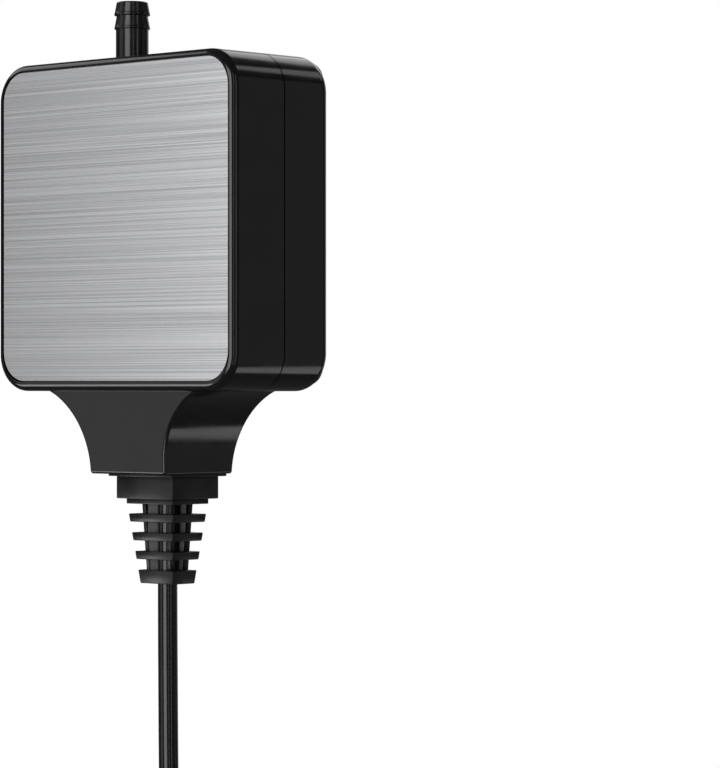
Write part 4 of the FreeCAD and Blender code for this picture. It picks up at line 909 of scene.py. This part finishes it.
# %% Set a panel into each flat face
panel_margin = 2.2 * mm
panel_depth = 0.35 * mm
for side in (-1, 1):
    pick(plug_body, "FACE", lambda centre, normal: normal.y * side > 0.99)
    bpy.ops.mesh.inset(thickness=panel_margin, depth=0)
    bpy.ops.mesh.inset(thickness=panel_depth, depth=-panel_depth)
    leave()
print("panels inset")

# %% Model the plug's sleeve, with sizes in millimetres
sleeve_top = plug_high.z / mm
sleeve_end = body_top_z / mm - 1
collar_height = 1.2
collar_radius = 2.6
groove_count = 4
groove_pitch = 2.1
groove_growth = 0.42
sleeve_rings = [
    (sleeve_top, 2.3), (sleeve_top - 0.15, 2.5), (sleeve_top - collar_height, collar_radius),
]
for number in range(groove_count):
    z = sleeve_top - collar_height - number * groove_pitch
    radius = collar_radius + number * groove_growth
    sleeve_rings += [
        (z - 0.1, radius - 0.1), (z - 0.2, radius - 0.45), (z - 0.75, radius - 0.42),
        (z - 0.85, radius - 0.02), (z - 1.0, radius + 0.12),
        (z - groove_pitch, radius + groove_growth),
    ]
sleeve_rings += [(sleeve_top - 10.4, 4.9), (sleeve_end, 6.0)]
sleeve = turned("plug_sleeve", relief_axis, sleeve_rings, count=48)

# %% Flatten the sleeve below its collar, and join the plug
round_height = 3 * mm
flatness = 0.78
pick(sleeve, "VERT", lambda place: place.z < plug_high.z - round_height)
bpy.ops.transform.resize(value=(1, flatness, 1), center_override=relief_axis)
leave()
plug_parts.append(sleeve)
plug = merge("moulded_plug", plug_parts)
plug_black = moulded("plug_black", grey(0.008), grey(0.013), 0.32, 0.44, 0.3 * mm, 0.01 * mm)
complete(plug, plug_black, "housing", "plug_black", "plug_body")

# %% [markdown]
# ## Metal, ceramic and electrics
#
# The inside parts keep their CAD shapes and get their real finishes. The screws are zinc plated,
# with fine marks all over. The brass discs and the plug's nickel-plated blades are rolled, so
# their marks are drawn out along Z. The ceramic is silver-fired and grainy. The board is green
# under its lacquer.
#
# Each kind could have a tree of its own. One helper with a few numbers is enough, because metals
# and mouldings differ mostly in how light, how rough and how fine-grained they are.

# %% Metal finishes
def metal(name, dark, light, rough_low, rough_high, grain, depth, stretch=(1, 1, 1)):
    """A bare metal: cloudy colour, and fine marks in gloss and relief."""
    material, tree, shader = new_finish(name)
    cloud = speckle(tree, 1.6 * mm)
    marks = speckle(tree, grain, stretch=stretch, detail=4.0)
    tree.links.new(
        shades(tree, blend_greys(tree, cloud, marks, 0.4), (0.35, dark), (0.65, light)),
        shader.inputs["Base Color"],
    )
    tree.links.new(spread(tree, marks, rough_low, rough_high), shader.inputs["Roughness"])
    relief(tree, shader, marks, depth, 0.5)
    shader.inputs["Metallic"].default_value = 1.0
    return material


screw_steel = metal("screw_steel", grey(0.42), grey(0.62), 0.24, 0.42, 0.12 * mm, 0.006 * mm)
disc_brass = metal(
    "disc_brass", (0.55, 0.36, 0.13), (0.80, 0.58, 0.26), 0.22, 0.38, 0.1 * mm, 0.003 * mm,
    stretch=(1, 1, 30),
)
blade_nickel = metal(
    "blade_nickel", (0.56, 0.54, 0.50), (0.74, 0.72, 0.67), 0.18, 0.34, 0.1 * mm, 0.004 * mm,
    stretch=(1, 1, 40),
)
dress(screw_steel, "housing_screws", "clamp_screws", "valve_cover_screws", "cord_clamp_screws")
dress(disc_brass, "front_disc", "rear_disc")
dress(blade_nickel, "plug_blades")
print("metals dressed")

# %% Plastics and rubbers inside
pump_plastic = moulded("pump_plastic", grey(0.52), grey(0.62), 0.38, 0.52, 0.4 * mm, 0.01 * mm)
dress(pump_plastic, "pump_chamber", "valve_cover", "front_clamp", "rear_clamp", "cord_clamp")
seal_rubber = moulded("seal_rubber", grey(0.012), grey(0.022), 0.55, 0.72, 0.2 * mm, 0.012 * mm)
dress(seal_rubber, "nozzle_seal", "isolation_pads")
grey_silicone = moulded("grey_silicone", grey(0.30), grey(0.38), 0.4, 0.55, 0.3 * mm, 0.006 * mm)
dress(grey_silicone, "front_surround", "rear_surround", "valve_gasket")
clear_silicone = moulded(
    "clear_silicone", (0.72, 0.75, 0.74), (0.82, 0.84, 0.83), 0.2, 0.34, 0.6 * mm, 0.006 * mm,
)
clear_shader = clear_silicone.node_tree.nodes["Principled BSDF"]
clear_shader.inputs["Transmission Weight"].default_value = 0.55
dress(clear_silicone, "outlet_duct", "outlet_flap", "inlet_flap")
ceramic = moulded(
    "fired_ceramic", (0.60, 0.59, 0.55), (0.76, 0.75, 0.70), 0.42, 0.6, 0.12 * mm, 0.008 * mm,
)
dress(ceramic, "front_ceramic", "rear_ceramic")
print("plastics dressed")

# %% Board and leads
board_green = moulded(
    "board_green", (0.010, 0.085, 0.030), (0.018, 0.135, 0.048), 0.22, 0.34, 0.5 * mm, 0.01 * mm,
)
dress(board_green, "circuit_board")
lead_black = moulded("lead_black", grey(0.010), grey(0.018), 0.35, 0.48, 0.3 * mm, 0.004 * mm)
dress(lead_black, "supply_leads")
lead_red = moulded(
    "lead_red", (0.36, 0.012, 0.010), (0.48, 0.020, 0.016), 0.35, 0.48, 0.3 * mm, 0.004 * mm,
)
print("leads dressed")

# %% [markdown]
# ## The wires to the discs
#
# Each disc moves a third of a millimetre in and out, and its wire is soldered to it. Each wire
# is a thin tube from the board to the disc. It is drawn as a curve, which bends smoothly, and
# converted to a mesh.

# %% Model the wires
board_end_x = 12 * mm
bend_x = 6 * mm


def disc_wire(side, insulation):
    """A wire from the board along the clamp frame and in to the ceramic."""
    low, high = (Vector(corner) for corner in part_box(side + "_disc_lead"))
    radius = (high.z - low.z) / 2
    z = low.z + radius
    run_y, end_y = (low.y + radius, high.y) if side == "front" else (high.y - radius, low.y)
    end_x = low.x + radius
    curve = bpy.data.curves.new(side + "_wire_line", "CURVE")
    curve.dimensions = "3D"
    spline = curve.splines.new("NURBS")
    places = [(high.x, run_y), (board_end_x, run_y), (bend_x, run_y), (end_x, run_y)]
    places += [(end_x, (run_y + end_y) / 2), (end_x, end_y)]
    spline.points.add(len(places) - 1)
    for point, (x, y) in zip(spline.points, places):
        point.co = (x, y, z, 1)
    spline.order_u = 3
    spline.use_endpoint_u = True
    spline.resolution_u = 8
    curve.bevel_depth = radius
    curve.use_fill_caps = True
    wire = bpy.data.objects.new(side + "_disc_wire", curve)
    bpy.context.collection.objects.link(wire)
    bpy.ops.object.select_all(action="DESELECT")
    wire.select_set(True)
    bpy.context.view_layer.objects.active = wire
    bpy.ops.object.convert(target="MESH")
    wire = bpy.context.object
    bpy.ops.object.shade_smooth_by_angle(angle=math.radians(40))
    wire.data.materials.clear()
    wire.data.materials.append(insulation)
    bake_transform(wire)
    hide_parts(side + "_disc_lead")
    dress(insulation, side + "_disc_lead")
    print(wire.name, len(wire.data.polygons), "faces")


disc_wire("front", lead_red)
disc_wire("rear", lead_black)

# %% [markdown]
# ## Resistors and fuse
#
# Resistors carry coloured rings that give their value, and a fuse has a metal cap at each end.
# The rings could be pieces of their own. Here the finish paints them: it compares the place along
# the component's axis with the middle of each ring.

# %% A finish with rings
def banded(name, body, *bands):
    """A round component along Y with coloured rings; each band is a start, an end and a colour."""
    material, tree, shader = new_finish(name)
    place = tree.nodes.new("ShaderNodeTexCoord")
    split = tree.nodes.new("ShaderNodeSeparateXYZ")
    tree.links.new(place.outputs["Object"], split.inputs["Vector"])
    darker = [part * 0.8 for part in body]
    colour = shades(tree, speckle(tree, 0.6 * mm), (0.3, darker), (0.7, body))
    for start, end, ring in bands:
        inside = tree.nodes.new("ShaderNodeMath")
        inside.operation = "COMPARE"
        inside.inputs[1].default_value = (start + end) / 2 * mm
        inside.inputs[2].default_value = (end - start) / 2 * mm
        tree.links.new(split.outputs["Y"], inside.inputs[0])
        paint = tree.nodes.new("ShaderNodeMix")
        paint.data_type = "RGBA"
        tree.links.new(inside.outputs["Value"], paint.inputs["Factor"])
        tree.links.new(colour, paint.inputs["A"])
        paint.inputs["B"].default_value = (*ring, 1)
        colour = paint.outputs["Result"]
    tree.links.new(colour, shader.inputs["Base Color"])
    tree.links.new(spread(tree, speckle(tree, 0.3 * mm), 0.28, 0.42), shader.inputs["Roughness"])
    return material


print("banded finish ready")

# %% Dress the resistors and the fuse
board_y = middle("circuit_board").y / mm
resistor_tan = banded(
    "resistor_tan", (0.46, 0.33, 0.19),
    (board_y - 2.2, board_y - 1.6, (0.20, 0.05, 0.01)),
    (board_y - 1.0, board_y - 0.4, (0.01, 0.01, 0.01)),
    (board_y + 0.2, board_y + 0.8, (0.55, 0.20, 0.02)),
    (board_y + 1.8, board_y + 2.4, (0.50, 0.36, 0.10)),
)
dress(resistor_tan, "resistors")
fuse_grey = banded(
    "fuse_grey", (0.22, 0.23, 0.24),
    (board_y - 4.0, board_y - 3.2, (0.5, 0.5, 0.5)),
    (board_y + 3.2, board_y + 4.0, (0.5, 0.5, 0.5)),
)
dress(fuse_grey, "fuse")
print("electrics dressed")
